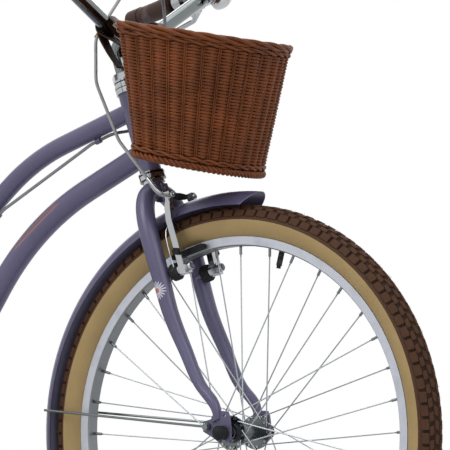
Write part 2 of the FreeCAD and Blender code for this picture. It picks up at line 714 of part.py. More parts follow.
PERCH_FROM_END = GRIP_LENGTH + 22
perches = []
lever_pivots = {}
cable_starts = {}
for side, word in ((1, "left"), (-1, "right")):
    end = CLAMP + side_of(BAR_END, side)
    along, reach, normal = lever_frame(side)
    grip = cyl(end - along * GRIP_LENGTH, along, GRIP_RADIUS, GRIP_LENGTH + 4)
    flange = cyl(end - along * GRIP_LENGTH, along, GRIP_RADIUS + 3, 4)
    waist = ring(end - along * (GRIP_LENGTH * 0.72), along, GRIP_RADIUS + 1, GRIP_RADIUS - 0.9,
                 GRIP_LENGTH * 0.5)
    keep("grip_" + word, joined([grip, flange]).cut(waist).cut(cyl(end - along * 300, along, BAR_RADIUS,
                                                                   300)))
    spot = end - along * PERCH_FROM_END
    clamp_ring = cyl(spot - along * PERCH_HALF, along, BAR_RADIUS + 4, 2 * PERCH_HALF)
    pivot = spot + reach * PIVOT_OUT
    neck = flat([spot - along * PERCH_HALF, spot + along * PERCH_HALF, pivot + along * 7 - reach * 8,
                 pivot - along * PERCH_HALF - reach * 2], normal * 16)
    neck.translate(-normal * 8)
    boss = cyl(pivot - normal * 8, normal, 7, 16)
    barrel_spot = spot + reach * BARREL_OUT - along * PERCH_HALF
    barrel = cyl(barrel_spot + along * 6, -along, 4.6, BARREL_LENGTH + 6)
    slot = flat([pivot - along * 7.5 - reach * 7, pivot + along * 60 - reach * 7,
                 pivot + along * 60 + reach * 40,
                 pivot - along * 7.5 + reach * 40], normal * 10)
    slot.translate(-normal * 5)
    pin = cyl(pivot - normal * 8, normal, PIVOT_PIN, 16)
    body = joined([clamp_ring, neck, boss, barrel]).cut(slot).cut(cyl(spot - along * 50, along, BAR_RADIUS,
                                                                      100))
    perches.append(joined([body, pin]))
    lever_pivots[word] = (pivot, normal, along, reach)
    cable_starts[word] = (barrel_spot - along * BARREL_LENGTH, -along)
    lever_path = rounded_path([pivot, pivot + along * 24 + reach * 13, pivot + along * 112 + reach * 21],
                              [30])
    blade_body = joined([rod(lever_path, 4.4), cyl(pivot - normal * 4.6, normal, 7, 9.2)])
    tip = Part.makeSphere(6.0, pivot + along * 112 + reach * 21)
    blade_body = joined([blade_body, tip]).cut(cyl(pivot - normal * 20, normal, PIVOT_PIN + RUNNING, 40))
    keep("brake_lever_" + word, blade_body)
keep("lever_perches", perches)

# bell on the left half of the bar
bell_spot = CLAMP + V(0, BELL_ACROSS, (BELL_ACROSS - BAR_FLAT) * BAR_RISE)
bar_way = unit(V(0, 1, BAR_RISE))
bell_up = V(1, 0, 0)
bell_clamp = cyl(bell_spot - bar_way * 7, bar_way, BAR_RADIUS + 3, 14)
bell_post = cyl(bell_spot, bell_up, 5, BAR_RADIUS + 13)
bell_base = cyl(bell_spot + bell_up * (BAR_RADIUS + 6), bell_up, BELL_RADIUS - 3, 3)
bell_body = joined([bell_clamp, bell_post, bell_base]).cut(bar_solid)
dome_foot = bell_spot + bell_up * (BAR_RADIUS + 8)
dome = Part.makeSphere(BELL_RADIUS, V(0, 0, 0), V(0, 0, 1), 0, 90, 360)
inner_dome = Part.makeSphere(BELL_RADIUS - 1.5, V(0, 0, 0), V(0, 0, 1), 0, 90, 360)
dome = dome.cut(inner_dome)
dome.rotate(V(0, 0, 0), V(0, 0, 1).cross(bell_up), math.degrees(V(0, 0, 1).getAngle(bell_up)))
dome.translate(dome_foot)
dome_post = cyl(bell_spot + bell_up * (BAR_RADIUS + 5), bell_up, 3, BELL_RADIUS + 2.4)
keep("bell", joined([bell_body, dome_post, dome]))


# wheels
BEAD_Y = RIM_WIDTH / 2 - 0.3
WELL = RIM_RADIUS - 10.0
RIM_INSIDE = RIM_RADIUS - RIM_HEIGHT
SEAT_R = RIM_RADIUS - 5.5


def arc_radius(half, rise):
    return (half * half + rise * rise) / (2 * rise)


# each tyre is laid out in equal sectors that meet end to end
def tyre_sectors(centre):
    sweep = 360.0 / TYRE_SECTORS
    foot = RIM_RADIUS + 0.7
    inner = RIM_WIDTH / 2 - FLANGE_LIP - 0.1
    core = inner - 2.3
    core_r = RIM_RADIUS - 1.0
    toe = inner - 3.7
    outer_arc = Part.Arc(V(0, -BEAD_Y, foot), V(0, 0, TYRE_RADIUS), V(0, BEAD_Y, foot)).toShape()
    inner_arc = Part.Arc(V(0, core, core_r), V(0, 0, TYRE_RADIUS - TREAD_THICKNESS),
                         V(0, -core, core_r)).toShape()
    right = [V(0, BEAD_Y, foot), V(0, inner, foot), V(0, inner, SEAT_R + 0.1), V(0, toe, SEAT_R + 0.1),
             V(0, core, core_r)]
    left = [V(0, -p.y, p.z) for p in reversed(right)]
    edges = [outer_arc]
    edges += [Part.LineSegment(a, b).toShape() for a, b in zip(right, right[1:])]
    edges.append(inner_arc)
    edges += [Part.LineSegment(a, b).toShape() for a, b in zip(left, left[1:])]
    body = spun(Part.Wire(edges), centre, sweep)
    curve = arc_radius(BEAD_Y, TYRE_RADIUS - foot)
    for across in (-12.5, -5.0, 5.0, 12.5):
        top = TYRE_RADIUS - curve + math.sqrt(curve ** 2 - across ** 2)
        groove = spun_points([(across - 0.9, top - 1.5), (across + 0.9, top - 1.5),
                              (across + 0.9, top + 4), (across - 0.9, top + 4)], centre)
        body = body.cut(turned(groove, centre, ACROSS, 90))
    return [turned(body, centre, ACROSS, sweep * i) for i in range(TYRE_SECTORS)]


def tube_shape(centre):
    inner = RIM_WIDTH / 2 - FLANGE_LIP - 2.4
    rise = TYRE_RADIUS - TREAD_THICKNESS - (RIM_RADIUS - 1.0)
    section = arc_radius(inner, rise)
    middle = TYRE_RADIUS - TREAD_THICKNESS - section
    section -= 1.4
    toward = V(math.sin(math.radians(VALVE_ANGLE)), 0, math.cos(math.radians(VALVE_ANGLE)))
    outer = Part.makeTorus(middle, section, centre, ACROSS)
    stem_end = RIM_INSIDE - 22
    valve = cyl(centre + toward * stem_end, toward, VALVE_RADIUS, middle - section - stem_end + 2)
    cap = cyl(centre + toward * (stem_end - 4), toward, VALVE_RADIUS - 1, 5)
    void = Part.makeTorus(middle, section - 1.2, centre, ACROSS)
    bore = cyl(centre + toward * (stem_end - 10), toward, 1.2, middle - stem_end + 10)
    return joined([outer, valve, cap]).cut(void).cut(bore)


def rim_hole_angles():
    step = 360.0 / SPOKE_COUNT
    lean = 720.0 * SPOKE_CROSSES / SPOKE_COUNT
    sets = []
    for hub_step, side, turn in ((0, -1, 1), (2, -1, -1), (1, 1, 1), (3, 1, -1)):
        sets.append((hub_step * step, hub_step * step + turn * lean, side, turn))
    return sets


def polar(centre, angle, radius, across):
    turn = math.radians(angle)
    return centre + V(radius * math.sin(turn), across, radius * math.cos(turn))


SPOKE_HOLE_R = FLANGE_RADIUS - 3.5


def spoke_ends(centre, hub_angle, rim_angle, side, turn, flange):
    drift = SPOKE_DRIFT if turn > 0 else 0.0
    offset = (FLANGE_THICKNESS / 2 + SPOKE_RADIUS + 0.3 + drift) * turn * side
    head = polar(centre, hub_angle, SPOKE_HOLE_R, flange - turn * side * (FLANGE_THICKNESS / 2 + 0.1))
    elbow = polar(centre, hub_angle, SPOKE_HOLE_R, flange + offset)
    foot = polar(centre, rim_angle, RIM_INSIDE + RIM_BASE - 0.6, side * 2.5)
    return head, elbow, foot


def wheel(prefix, centre, flanges):
    keep(prefix + "_tyre", tyre_sectors(centre))
    keep(prefix + "_inner_tube", tube_shape(centre))
    half = RIM_WIDTH / 2
    lip = half - FLANGE_LIP
    rim = spun_points([(-half, RIM_RADIUS), (-lip, RIM_RADIUS), (-lip, SEAT_R), (-7, SEAT_R), (-6, WELL),
                       (6, WELL),
                       (7, SEAT_R), (lip, SEAT_R), (lip, RIM_RADIUS), (half, RIM_RADIUS),
                       (half, RIM_INSIDE + 2),
                       (half - 2.5, RIM_INSIDE), (-half + 2.5, RIM_INSIDE), (-half, RIM_INSIDE + 2)],
                      centre)
    spokes, holes, flange_holes = [], [], []
    for hub_angle, rim_angle, side, turn in rim_hole_angles():
        flange = flanges[side]
        head, elbow, foot = spoke_ends(centre, hub_angle, rim_angle, side, turn, flange)
        run = unit(foot - elbow)
        path = rounded_path([head, elbow, foot - run * 1], [2.0])
        cap = cyl(head, V(0, -turn * side, 0), 2.0, 1.0)
        nipple = cyl(foot - run * 16, run, NIPPLE_RADIUS, 16)
        one = joined([rod(path, SPOKE_RADIUS), cap, nipple])
        hole = cyl(foot - run * 30, run, NIPPLE_RADIUS + 0.2, 45)
        flange_hole = cyl(V(head.x, flange - 4, head.z), ACROSS, SPOKE_RADIUS + 0.3, 8)
        for i in range(SPOKE_COUNT // 4):
            turn_by = i * 4 * 360.0 / SPOKE_COUNT
            spokes.append(turned(one, centre, ACROSS, turn_by))
            holes.append(turned(hole, centre, ACROSS, turn_by))
            flange_holes.append(turned(flange_hole, centre, ACROSS, turn_by))
    toward = V(math.sin(math.radians(VALVE_ANGLE)), 0, math.cos(math.radians(VALVE_ANGLE)))
    holes.append(cyl(centre + toward * (RIM_INSIDE - 20), toward, VALVE_RADIUS + 0.3, 60))
    keep(prefix + "_rim", rim.cut(Part.Compound(holes)))
    keep(prefix + "_spokes", spokes)
    return flange_holes


BALL_MINOR = (CUP_BORE - CONE_RADIUS) / 2 - 0.15
BALL_MAJOR = (CUP_BORE + CONE_RADIUS) / 2
half_flange = FLANGE_THICKNESS / 2
holes = wheel("front", FRONT, {1: FLANGE_OFFSET, -1: -FLANGE_OFFSET})
face_in, face_out = FLANGE_OFFSET - half_flange, FLANGE_OFFSET + half_flange
HUB_END = FLANGE_OFFSET + 8
front_hub_half = [(HUB_END, CUP_BORE), (HUB_END, HUB_BOSS), (face_out, HUB_BOSS),
                  (face_out, FLANGE_RADIUS),
                  (face_in, FLANGE_RADIUS), (face_in, HUB_BARREL_RADIUS)]
inner_half = [(HUB_END - CUP_DEPTH, AXLE_BORE), (HUB_END - CUP_DEPTH, CUP_BORE)]
outline = [(-y, r) for y, r in front_hub_half] + list(reversed(front_hub_half))
outline += [(y, r) for y, r in reversed(inner_half)] + [(-y, r) for y, r in inner_half]
keep("front_hub", spun_points(outline, FRONT).cut(Part.Compound(holes)))


def axle_set(centre, half, plate, hub_left, hub_right, spread):
    axle = cyl(centre - ACROSS * (half + plate + spread), ACROSS, AXLE_RADIUS,
               2 * (half + plate + spread))
    pieces, balls = [axle], []
    for side, hub_end in ((1, hub_left), (-1, hub_right)):
        way = V(0, side, 0)
        cone = cyl(centre + way * (hub_end - CUP_DEPTH + CLEAR), way, CONE_RADIUS, CUP_DEPTH + 2)
        spacer = cyl(centre + way * (hub_end + 2), way, CONE_RADIUS + 1, half - hub_end - 2)
        nut = hexagon(centre + way * (half + plate), way, 15, 7)
        pieces += [cone, spacer, nut]
        balls.append(Part.makeTorus(BALL_MAJOR, BALL_MINOR,
                                    centre + way * (hub_end - CUP_DEPTH + BALL_MINOR + 0.4), ACROSS))
    return [joined(pieces)] + balls


keep("front_axle_set", axle_set(FRONT, FRONT_AXLE_HALF, DROPOUT, HUB_END, HUB_END, 9))
caps = []
for side in (1, -1):
    way = V(0, side, 0)
    start = FRONT_AXLE_HALF + DROPOUT
    shell_cap = cyl(FRONT + way * (start + 0.1), way, CAP_RADIUS, CAP_END - start - 6)
    dome_cap = Part.makeSphere(CAP_RADIUS, FRONT + way * (CAP_END - CAP_RADIUS))
    hole = hexagon(FRONT + way * (start - 1), way, 15.2, 9.2)
    deep = cyl(FRONT + way * start, way, AXLE_RADIUS + 0.2, 9.6)
    caps.append(joined([shell_cap, dome_cap]).cut(hole).cut(deep).cut(cyl(FRONT + way * (start - 20), way,
                                                                          30, 20.1)))
keep("front_axle_caps", caps)

holes = wheel("rear", REAR, {1: REAR_FLANGE_LEFT, -1: -REAR_FLANGE_RIGHT})
outline = [(-REAR_END_RIGHT, CUP_BORE), (-REAR_END_RIGHT, FREE_BORE),
           (-REAR_FLANGE_RIGHT - half_flange, FREE_BORE),
           (-REAR_FLANGE_RIGHT - half_flange, FLANGE_RADIUS),
           (-REAR_FLANGE_RIGHT + half_flange, FLANGE_RADIUS),
           (-REAR_FLANGE_RIGHT + half_flange, HUB_BARREL_RADIUS + 6),
           (REAR_FLANGE_LEFT - half_flange, HUB_BARREL_RADIUS + 6),
           (REAR_FLANGE_LEFT - half_flange, FLANGE_RADIUS),
           (REAR_FLANGE_LEFT + half_flange, FLANGE_RADIUS),
           (REAR_FLANGE_LEFT + half_flange, HUB_BOSS), (REAR_END_LEFT, HUB_BOSS),
           (REAR_END_LEFT, CUP_BORE),
           (REAR_END_LEFT - CUP_DEPTH, CUP_BORE), (REAR_END_LEFT - CUP_DEPTH, AXLE_BORE),
           (-REAR_END_RIGHT + CUP_DEPTH, AXLE_BORE), (-REAR_END_RIGHT + CUP_DEPTH, CUP_BORE)]
keep("rear_hub", spun_points(outline, REAR).cut(Part.Compound(holes)))
rear_axle_parts = axle_set(REAR, REAR_AXLE_HALF, DROPOUT_PLATE, REAR_END_LEFT, REAR_END_RIGHT, 9)
keep("rear_axle_set", rear_axle_parts)

# chain: pins along the loop, then outer and inner links in turn
lean = math.asin((RING_RADIUS - SPROCKET_RADIUS) / CHAIN_STAY)
slope = math.atan2(REAR.z - BRACKET.z, REAR.x - BRACKET.x)
back = V(math.cos(slope), 0, math.sin(slope))
over = V(back.z, 0, -back.x) if back.x < 0 else V(-back.z, 0, back.x)
if over.z < 0:
    over = -over
RIGHT_SIDE = V(0, -CHAIN_LINE, 0)
straight = CHAIN_STAY * math.cos(lean)
ring_arc = RING_RADIUS * (math.pi + 2 * lean)
sprocket_arc = SPROCKET_RADIUS * (math.pi - 2 * lean)
loop = 2 * straight + ring_arc + sprocket_arc


def loop_point(travel):
    travel = travel % loop
    upper_normal = over * math.cos(lean) + back * math.sin(lean)
    if travel < straight:
        share = travel / straight
        start = BRACKET + upper_normal * RING_RADIUS
        end = REAR + upper_normal * SPROCKET_RADIUS
        return start + (end - start) * share
    travel -= straight
    if travel < sprocket_arc:
        turn = travel / SPROCKET_RADIUS + lean
        return REAR + (over * math.cos(turn) + back * math.sin(turn)) * SPROCKET_RADIUS
    travel -= sprocket_arc
    lower_normal = over * -math.cos(lean) + back * math.sin(lean)
    if travel < straight:
        share = travel / straight
        start = REAR + lower_normal * SPROCKET_RADIUS
        end = BRACKET + lower_normal * RING_RADIUS
        return start + (end - start) * share
    travel -= straight
    turn = travel / RING_RADIUS - lean
    return BRACKET + (over * -math.cos(turn) - back * math.sin(turn)) * RING_RADIUS


def link_plate(y):
    p, r = CHAIN_PITCH, PLATE_HALF
    ends = [Part.Arc(V(0, y, r), V(-r, y, 0), V(0, y, -r)).toShape(),
            Part.Arc(V(0, y, -r), V(p / 2, y, -r * 0.74), V(p, y, -r)).toShape(),
            Part.Arc(V(p, y, -r), V(p + r, y, 0), V(p, y, r)).toShape(),
            Part.Arc(V(p, y, r), V(p / 2, y, r * 0.74), V(0, y, r)).toShape()]
    return Part.Face(Part.Wire(ends)).extrude(V(0, LINK_PLATE, 0))


both = (V(0, 0, 0), V(CHAIN_PITCH, 0, 0))
inner_link = [link_plate(INNER_GAP), link_plate(-INNER_GAP - LINK_PLATE)]
inner_link += [cyl(p - ACROSS * (INNER_GAP + 0.2), ACROSS, ROLLER_RADIUS,
                   2 * INNER_GAP + 0.4) for p in both]
inner_link = joined(inner_link)
for p in both:
    inner_link = inner_link.cut(cyl(p - ACROSS * 10, ACROSS, PIN_RADIUS + 0.15, 20))
outer_y = INNER_GAP + LINK_PLATE + 0.15
outer_link = [link_plate(outer_y), link_plate(-outer_y - LINK_PLATE)]
outer_link += [cyl(p - ACROSS * (outer_y + LINK_PLATE + 0.5), ACROSS, PIN_RADIUS,
                   2 * (outer_y + LINK_PLATE + 0.5)) for p in both]
outer_link = joined(outer_link)
pins = [loop_point(loop * i / CHAIN_LINKS) + RIGHT_SIDE for i in range(CHAIN_LINKS)]
links = []
for i in range(CHAIN_LINKS):
    start, end = pins[i], pins[(i + 1) % CHAIN_LINKS]
    way = end - start
    link = (inner_link if i % 2 else outer_link).copy()
    link.rotate(V(0, 0, 0), ACROSS, -math.degrees(math.atan2(way.z, way.x)))
    link.translate(start + way * 0.5 - unit(way) * (CHAIN_PITCH / 2))
    links.append(link)
keep("chain", links)


def toothed(centre, teeth, pitch_radius, thickness, gap_at):
    seat = ROLLER_RADIUS + 0.55
    first = math.atan2(gap_at.z - centre.z, gap_at.x - centre.x)
    points = []
    for i in range(teeth):
        middle = first + 2 * math.pi * i / teeth
        radial = V(math.cos(middle), 0, math.sin(middle))
        side = V(-radial.z, 0, radial.x)
        for turn in (-65, -35, 0, 35, 65):
            t = math.radians(turn)
            points.append(centre + radial * (pitch_radius - seat * math.cos(t))
                          + side * (seat * math.sin(t)))
        tip = middle + math.pi / teeth
        tip_radial = V(math.cos(tip), 0, math.sin(tip))
        tip_side = V(-tip_radial.z, 0, tip_radial.x)
        for shift in (-1.1, 1.1):
            points.append(centre + tip_radial * (pitch_radius + 3.6) + tip_side * shift)
    shape = flat([V(p.x, -thickness / 2, p.z) for p in points], V(0, thickness, 0))
    shape.translate(V(0, centre.y - CHAIN_LINE, 0))
    return shape


def nearest_on(centre, radius):
    best = None
    for pin in pins:
        flat_way = V(pin.x - centre.x, 0, pin.z - centre.z)
        if abs(flat_way.Length - radius) < 0.01:
            outward = flat_way.dot(BRACKET - REAR) * (1 if centre is BRACKET else -1)
            if best is None or outward > best[0]:
                best = (outward, pin)
    return best[1]


chainring = toothed(BRACKET, RING_TEETH, RING_RADIUS, TOOTH_WIDTH, nearest_on(BRACKET, RING_RADIUS))
RING_HOLE = RING_RADIUS * 0.19
for i in range(6):
    spot = polar(BRACKET, 60 * i, RING_RADIUS * 0.60, -CHAIN_LINE - 10)
    chainring = chainring.cut(cyl(spot, ACROSS, RING_HOLE, 20))
chainring = chainring.cut(cyl(BRACKET - ACROSS * (CHAIN_LINE + 10), ACROSS, CRANK_RADIUS + 1, 20))
keep("chainring", chainring)
sprocket = toothed(REAR, SPROCKET_TEETH, SPROCKET_RADIUS, TOOTH_WIDTH, nearest_on(REAR, SPROCKET_RADIUS))
free_body = cyl(REAR - ACROSS * (REAR_END_RIGHT - 2), ACROSS, SPROCKET_RADIUS - 9,
                REAR_END_RIGHT - 2 - 36)
sprocket = joined([sprocket, free_body]).cut(cyl(REAR - ACROSS * 80, ACROSS, FREE_BORE + RUNNING, 80))
keep("freewheel_sprocket", sprocket)

# one-piece crank with its cones and ring bearing


def crank_half(side):
    forward = V(-side, 0, 0)
    return [BRACKET + ACROSS * (side * SPINDLE_Y), BRACKET + ACROSS * (side * ARM_Y) + forward * 16,
            BRACKET + ACROSS * (side * (PEDAL_Y - 7)) + forward * CRANK_LENGTH]


left, right = crank_half(1), crank_half(-1)
crank_path = rounded_path([left[2], left[1], left[0], right[0], right[1], right[2]], [18, 14, 14, 18])
crank_body = [rod(crank_path, CRANK_RADIUS)]
for side in (1, -1):
    eye = BRACKET + V(-side * CRANK_LENGTH, side * (PEDAL_Y - 7), 0)
    crank_body.append(cyl(eye - ACROSS * 7, ACROSS, 15, 14))
crank = joined(crank_body)
for side in (1, -1):
    eye = BRACKET + V(-side * CRANK_LENGTH, side * (PEDAL_Y - 7), 0)
    crank = crank.cut(cyl(eye - ACROSS * 30, ACROSS, PEDAL_THREAD, 60))
    crank = crank.cut(cyl(eye + ACROSS * (side * 7), V(0, side, 0), 40, 20))
cones = []
for side in (1, -1):
    way = V(0, side, 0)
    cones.append(ring(BRACKET + way * (SHELL_HALF - 9), way, BRACKET_CONE, CRANK_RADIUS, 13))
collar = ring(BRACKET - ACROSS * (CHAIN_LINE - TOOTH_WIDTH / 2), ACROSS, BRACKET_CONE, CRANK_RADIUS,
              CHAIN_LINE - TOOTH_WIDTH / 2 - SHELL_HALF - 4)
keep("crank", [crank] + cones + [collar])
cups = []
for side in (1, -1):
    way = V(0, side, 0)
    cup = ring(BRACKET + way * (SHELL_HALF - 10), way, SHELL_BORE, BRACKET_CUP, 10)
    lip = ring(BRACKET + way * SHELL_HALF, way, SHELL_RADIUS - 1, BRACKET_CUP, 2)
    cups.append(joined([cup, lip]))
    minor = (BRACKET_CUP - BRACKET_CONE) / 2 - 0.2
    cups.append(Part.makeTorus((BRACKET_CUP + BRACKET_CONE) / 2, minor, BRACKET + way * (SHELL_HALF - 5),
                               ACROSS))
keep("bottom_bracket_cups", cups)

# pedals turn on spindles screwed into the crank eyes
spindles = []
for side, word in ((1, "left"), (-1, "right")):
    way = V(0, side, 0)
    eye = BRACKET + V(-side * CRANK_LENGTH, 0, 0)
    thread = cyl(eye + way * (PEDAL_Y - 14), way, PEDAL_THREAD, 14)
    collar_nut = cyl(eye + way * PEDAL_Y, way, 8, 5)
    shaft = cyl(eye + way * (PEDAL_Y + 4), way, SPINDLE_R, PEDAL_WIDTH - 4)
    spindles.append(joined([thread, collar_nut, shaft]))
    start = PEDAL_Y + 6
    core = cyl(eye + way * start, way, 9.5, PEDAL_WIDTH)
    ends = []
    for y in (start, start + PEDAL_WIDTH - 6):
        plate = Part.makeBox(PEDAL_LENGTH, 6, PEDAL_THICK, V(-PEDAL_LENGTH / 2, 0, -PEDAL_THICK / 2))
        plate = plate.makeFillet(7, [e for e in plate.Edges if abs(e.tangentAt(e.FirstParameter).y) > 0.9])
        plate.translate(eye + V(0, side * y - (6 if side < 0 else 0), 0))
        ends.append(plate)
    treads = []
    for shift in (-1, 1):
        tread = Part.makeBox(22, PEDAL_WIDTH, PEDAL_THICK - 2, V(-11, 0, -(PEDAL_THICK - 2) / 2))
        tread = tread.makeFillet(5, [e for e in tread.Edges if abs(e.tangentAt(e.FirstParameter).y) > 0.9])
        tread.translate(eye + V(shift * (PEDAL_LENGTH / 2 - 13),
                                side * start - (PEDAL_WIDTH if side < 0 else 0), 0))
        treads.append(tread)
    pedal = joined([core] + ends + treads).cut(cyl(eye + way * (PEDAL_Y - 20), way, SPINDLE_R + RUNNING,
                                                   PEDAL_WIDTH + 22))
    keep("pedal_" + word, pedal)
keep("pedal_spindles", spindles)


# fenders
def fender_shell(centre, from_angle, to_angle):
    rise = FENDER_DEPTH
    half = FENDER_HALF_WIDTH
    t = FENDER_SHEET
    top = FENDER_RADIUS
    outer = Part.Arc(V(0, -half, top - rise), V(0, 0, top), V(0, half, top - rise)).toShape()
    inner = Part.Arc(V(0, half - t, top - rise), V(0, 0, top - t), V(0, -half + t, top - rise)).toShape()
    edges = [outer, Part.LineSegment(V(0, half, top - rise), V(0, half - t, top - rise)).toShape(), inner,
             Part.LineSegment(V(0, -half + t, top - rise), V(0, -half, top - rise)).toShape()]
    shape = Part.Face(Part.Wire(edges)).revolve(V(0, 0, 0), ACROSS, to_angle - from_angle)
    shape.rotate(V(0, 0, 0), ACROSS, from_angle)
    shape.translate(centre)
    return shape


def tip_cut(centre, reach, shoulder):
    half = FENDER_HALF_WIDTH + CLEAR
    bow = arc_radius(half, reach - shoulder)
    foot = FENDER_RADIUS - 2 * FENDER_DEPTH
    height = 3 * FENDER_DEPTH
    block = Part.makeBox(FENDER_RADIUS, 3 * half, height, V(shoulder, -1.5 * half, foot))
    cutter = block.cut(Part.makeCylinder(bow, height, V(reach - bow, 0, foot)))
    cutter.translate(centre)
    return cutter


front_fender = fender_shell(FRONT, -FRONT_FENDER_BACK, FRONT_FENDER_AHEAD)
front_fender = front_fender.cut(tip_cut(FRONT, FRONT_TIP, FRONT_SHOULDER))
tab_top = fork_point(-RAKE + FORK_LEG_RADIUS + 1.2, 0, CROWN_UP - 13)
tab_foot = fork_point(-RAKE + FORK_LEG_RADIUS + 1.2, 0, math.sqrt(FENDER_RADIUS ** 2 - RAKE ** 2) - 1)
tab_way = unit(tab_top - tab_foot)
tab = flat([tab_foot - ACROSS * TAB_HALF, tab_top + tab_way * 8 - ACROSS * TAB_HALF,
            tab_top + tab_way * 8 + ACROSS * TAB_HALF, tab_foot + ACROSS * TAB_HALF], AHEAD * 2)
tab = tab.cut(cyl(tab_top - AHEAD * 20, AHEAD, CROWN_HOLE, 60))
keep("front_fender", joined([front_fender, tab]).cut(fork))

rear_fender = fender_shell(REAR, -REAR_FENDER_BACK, REAR_FENDER_FRONT)
bridge_spot = BRACKET + V(-82, 0, 6)
front_lip = polar(REAR, REAR_FENDER_FRONT - 3, FENDER_RADIUS - 0.6, 0)
hook_way = unit(bridge_spot - front_lip)
hook_side = hook_way.cross(ACROSS)
hook = flat([front_lip - hook_way * 2 - ACROSS * TAB_HALF, bridge_spot - ACROSS * TAB_HALF,
             bridge_spot + ACROSS * TAB_HALF, front_lip - hook_way * 2 + ACROSS * TAB_HALF],
            hook_side * 2)
keep("rear_fender", joined([rear_fender, hook]).cut(triangle))


def fender_wire(start, hook_centre, angle, side):
    top = polar(hook_centre, angle, FENDER_RADIUS - FENDER_DEPTH - 1, 0)
    lip_y = FENDER_HALF_WIDTH + STAY_WIRE + 0.02
    end = V(top.x, side * lip_y, top.z)
    beyond = polar(hook_centre, angle, FENDER_RADIUS - FENDER_DEPTH + 9, side * lip_y)
    return start, end, beyond


front_wires = []
for side in (1, -1):
    eye = FRONT + V(STAY_EYE[0], side * (FORK_TIP_Y + DROPOUT / 2), STAY_EYE[1])
    way = V(0, side, 0)
    start, end, beyond = fender_wire(eye + way * (STAY_WIRE + 1), FRONT, -84, side)
    wire = rod(rounded_path([start, end, beyond], [40]), STAY_WIRE)
    loop_ring = ring(eye + way * 0.05, way, 6, EYELET_BORE, 4)
    bolt = cyl(eye - way * (DROPOUT - 0.5), way, EYELET_BORE, DROPOUT + 5)
    head = hexagon(eye + way * 4.05, way, 9, 4)
    front_wires.append(joined([wire, loop_ring, bolt, head]))
keep("front_fender_stays", [w.cut(front_fender).cut(fork) for w in front_wires])
rear_wires = []
for side in (1, -1):
    eye = REAR + V(EYELET_BACK, side * (DROPOUT_Y + DROPOUT_PLATE / 2), EYELET_UP)
    way = V(0, side, 0)
    start, end, beyond = fender_wire(eye + way * (STAY_WIRE + 1), REAR, -88, side)
    wire = rod(rounded_path([start, end, beyond], [40]), STAY_WIRE)
    loop_ring = ring(eye + way * 0.05, way, 6, EYELET_BORE, 4)
    bolt = cyl(eye - way * (DROPOUT_PLATE - 0.5), way, EYELET_BORE, DROPOUT_PLATE + 5)
    head = hexagon(eye + way * 4.05, way, 9, 4)
    rear_wires.append(joined([wire, loop_ring, bolt, head]))
keep("rear_fender_stays", [w.cut(rear_fender).cut(triangle) for w in rear_wires])
keep("rear_triangle", triangle)

# chain guard: a tray over the upper run
GUARD_RADIUS = RING_RADIUS + 19
GUARD_TAIL = REAR + V(78, 0, 16)
GUARD_TAIL_RADIUS = SPROCKET_RADIUS + 8


def guard_prism(inset, y_from, y_to):
    big, small = GUARD_RADIUS - inset, GUARD_TAIL_RADIUS - inset
    span = GUARD_TAIL - BRACKET
    tilt = math.asin((big - small) / span.Length)
    heading = unit(span)
    above = V(heading.z, 0, -heading.x)
    if above.z < 0:
        above = -above
    normal = above * math.cos(tilt) + heading * math.sin(tilt)
    under = above * -math.cos(tilt) + heading * math.sin(tilt)
    points = [BRACKET + normal * big, GUARD_TAIL + normal * small, GUARD_TAIL + heading * small,
              GUARD_TAIL + under * small, BRACKET + under * big, BRACKET - heading * big]
    edges = [Part.LineSegment(points[0], points[1]).toShape(),
             Part.Arc(points[1], points[2], points[3]).toShape(),
             Part.LineSegment(points[3], points[4]).toShape(),
             Part.Arc(points[4], points[5], points[0]).toShape()]
    face = Part.Face(Part.Wire(edges))
    face.translate(V(0, -y_to, 0))
    return face.extrude(V(0, y_to - y_from, 0))


guard = guard_prism(0, 35, GUARD_Y + GUARD_SHEET).cut(guard_prism(GUARD_SHEET, 30, GUARD_Y))
stay_line = [BRACKET + V(200, 0, 14), BRACKET + V(-60, 0, 18), REAR + V(120, 0, 16),
             REAR + V(-100, 0, 16),
             REAR + V(-100, 0, -300), BRACKET + V(200, 0, -300)]
below = flat([V(p.x, -80, p.z) for p in stay_line], V(0, 80, 0))
tail_mouth = Part.makeBox(100, GUARD_Y - 30, 200, V(REAR.x - 20, -GUARD_Y, REAR.z - 100))
guard = guard.cut(below).cut(tail_mouth)
strut_spot = BRACKET + SEAT_DIRECTION * (GUARD_RADIUS + 5)
strut = cyl(V(strut_spot.x, -GUARD_Y - GUARD_SHEET, strut_spot.z), ACROSS, 5, GUARD_Y + GUARD_SHEET)
guard_tab_x = REAR.x + 175
guard_tab = Part.makeBox(16, GUARD_SHEET, 26, V(guard_tab_x, -GUARD_Y - GUARD_SHEET, REAR.z - 6))
guard = joined([guard, strut, guard_tab]).cut(seat_solid).cut(triangle)
guard = max(guard.Solids, key=lambda s: s.Volume)
keep("chain_guard", guard)

# seat: post, clamp, sprung saddle
post_radius = SEAT_TUBE_RADIUS - TUBE_WALL - RUNNING
post_up = (SADDLE_HEIGHT - SADDLE_DROP - SEAT_TUBE_TOP.z) / math.sin(SEAT_LEAN)
POST_HEAD = SEAT_TUBE_TOP + SEAT_DIRECTION * post_up
keep("seat_post", cyl(SEAT_TUBE_TOP - SEAT_DIRECTION * SEAT_INSERT, SEAT_DIRECTION, post_radius,
                      post_up + SEAT_INSERT)
     .cut(cyl(SEAT_TUBE_TOP - SEAT_DIRECTION * (SEAT_INSERT + 1), SEAT_DIRECTION, post_radius - 2,
              post_up + SEAT_INSERT - 12)))
collar_ring = cyl(SEAT_TUBE_TOP - SEAT_DIRECTION * 17, SEAT_DIRECTION, SEAT_TUBE_RADIUS + 3.5, 16)
ear = Part.makeBox(14, 12, 16, V(-SEAT_TUBE_RADIUS - 13, -6, -17))
ear.rotate(V(0, 0, 0), ACROSS, -(90 - SEAT_ANGLE))
ear.translate(SEAT_TUBE_TOP)
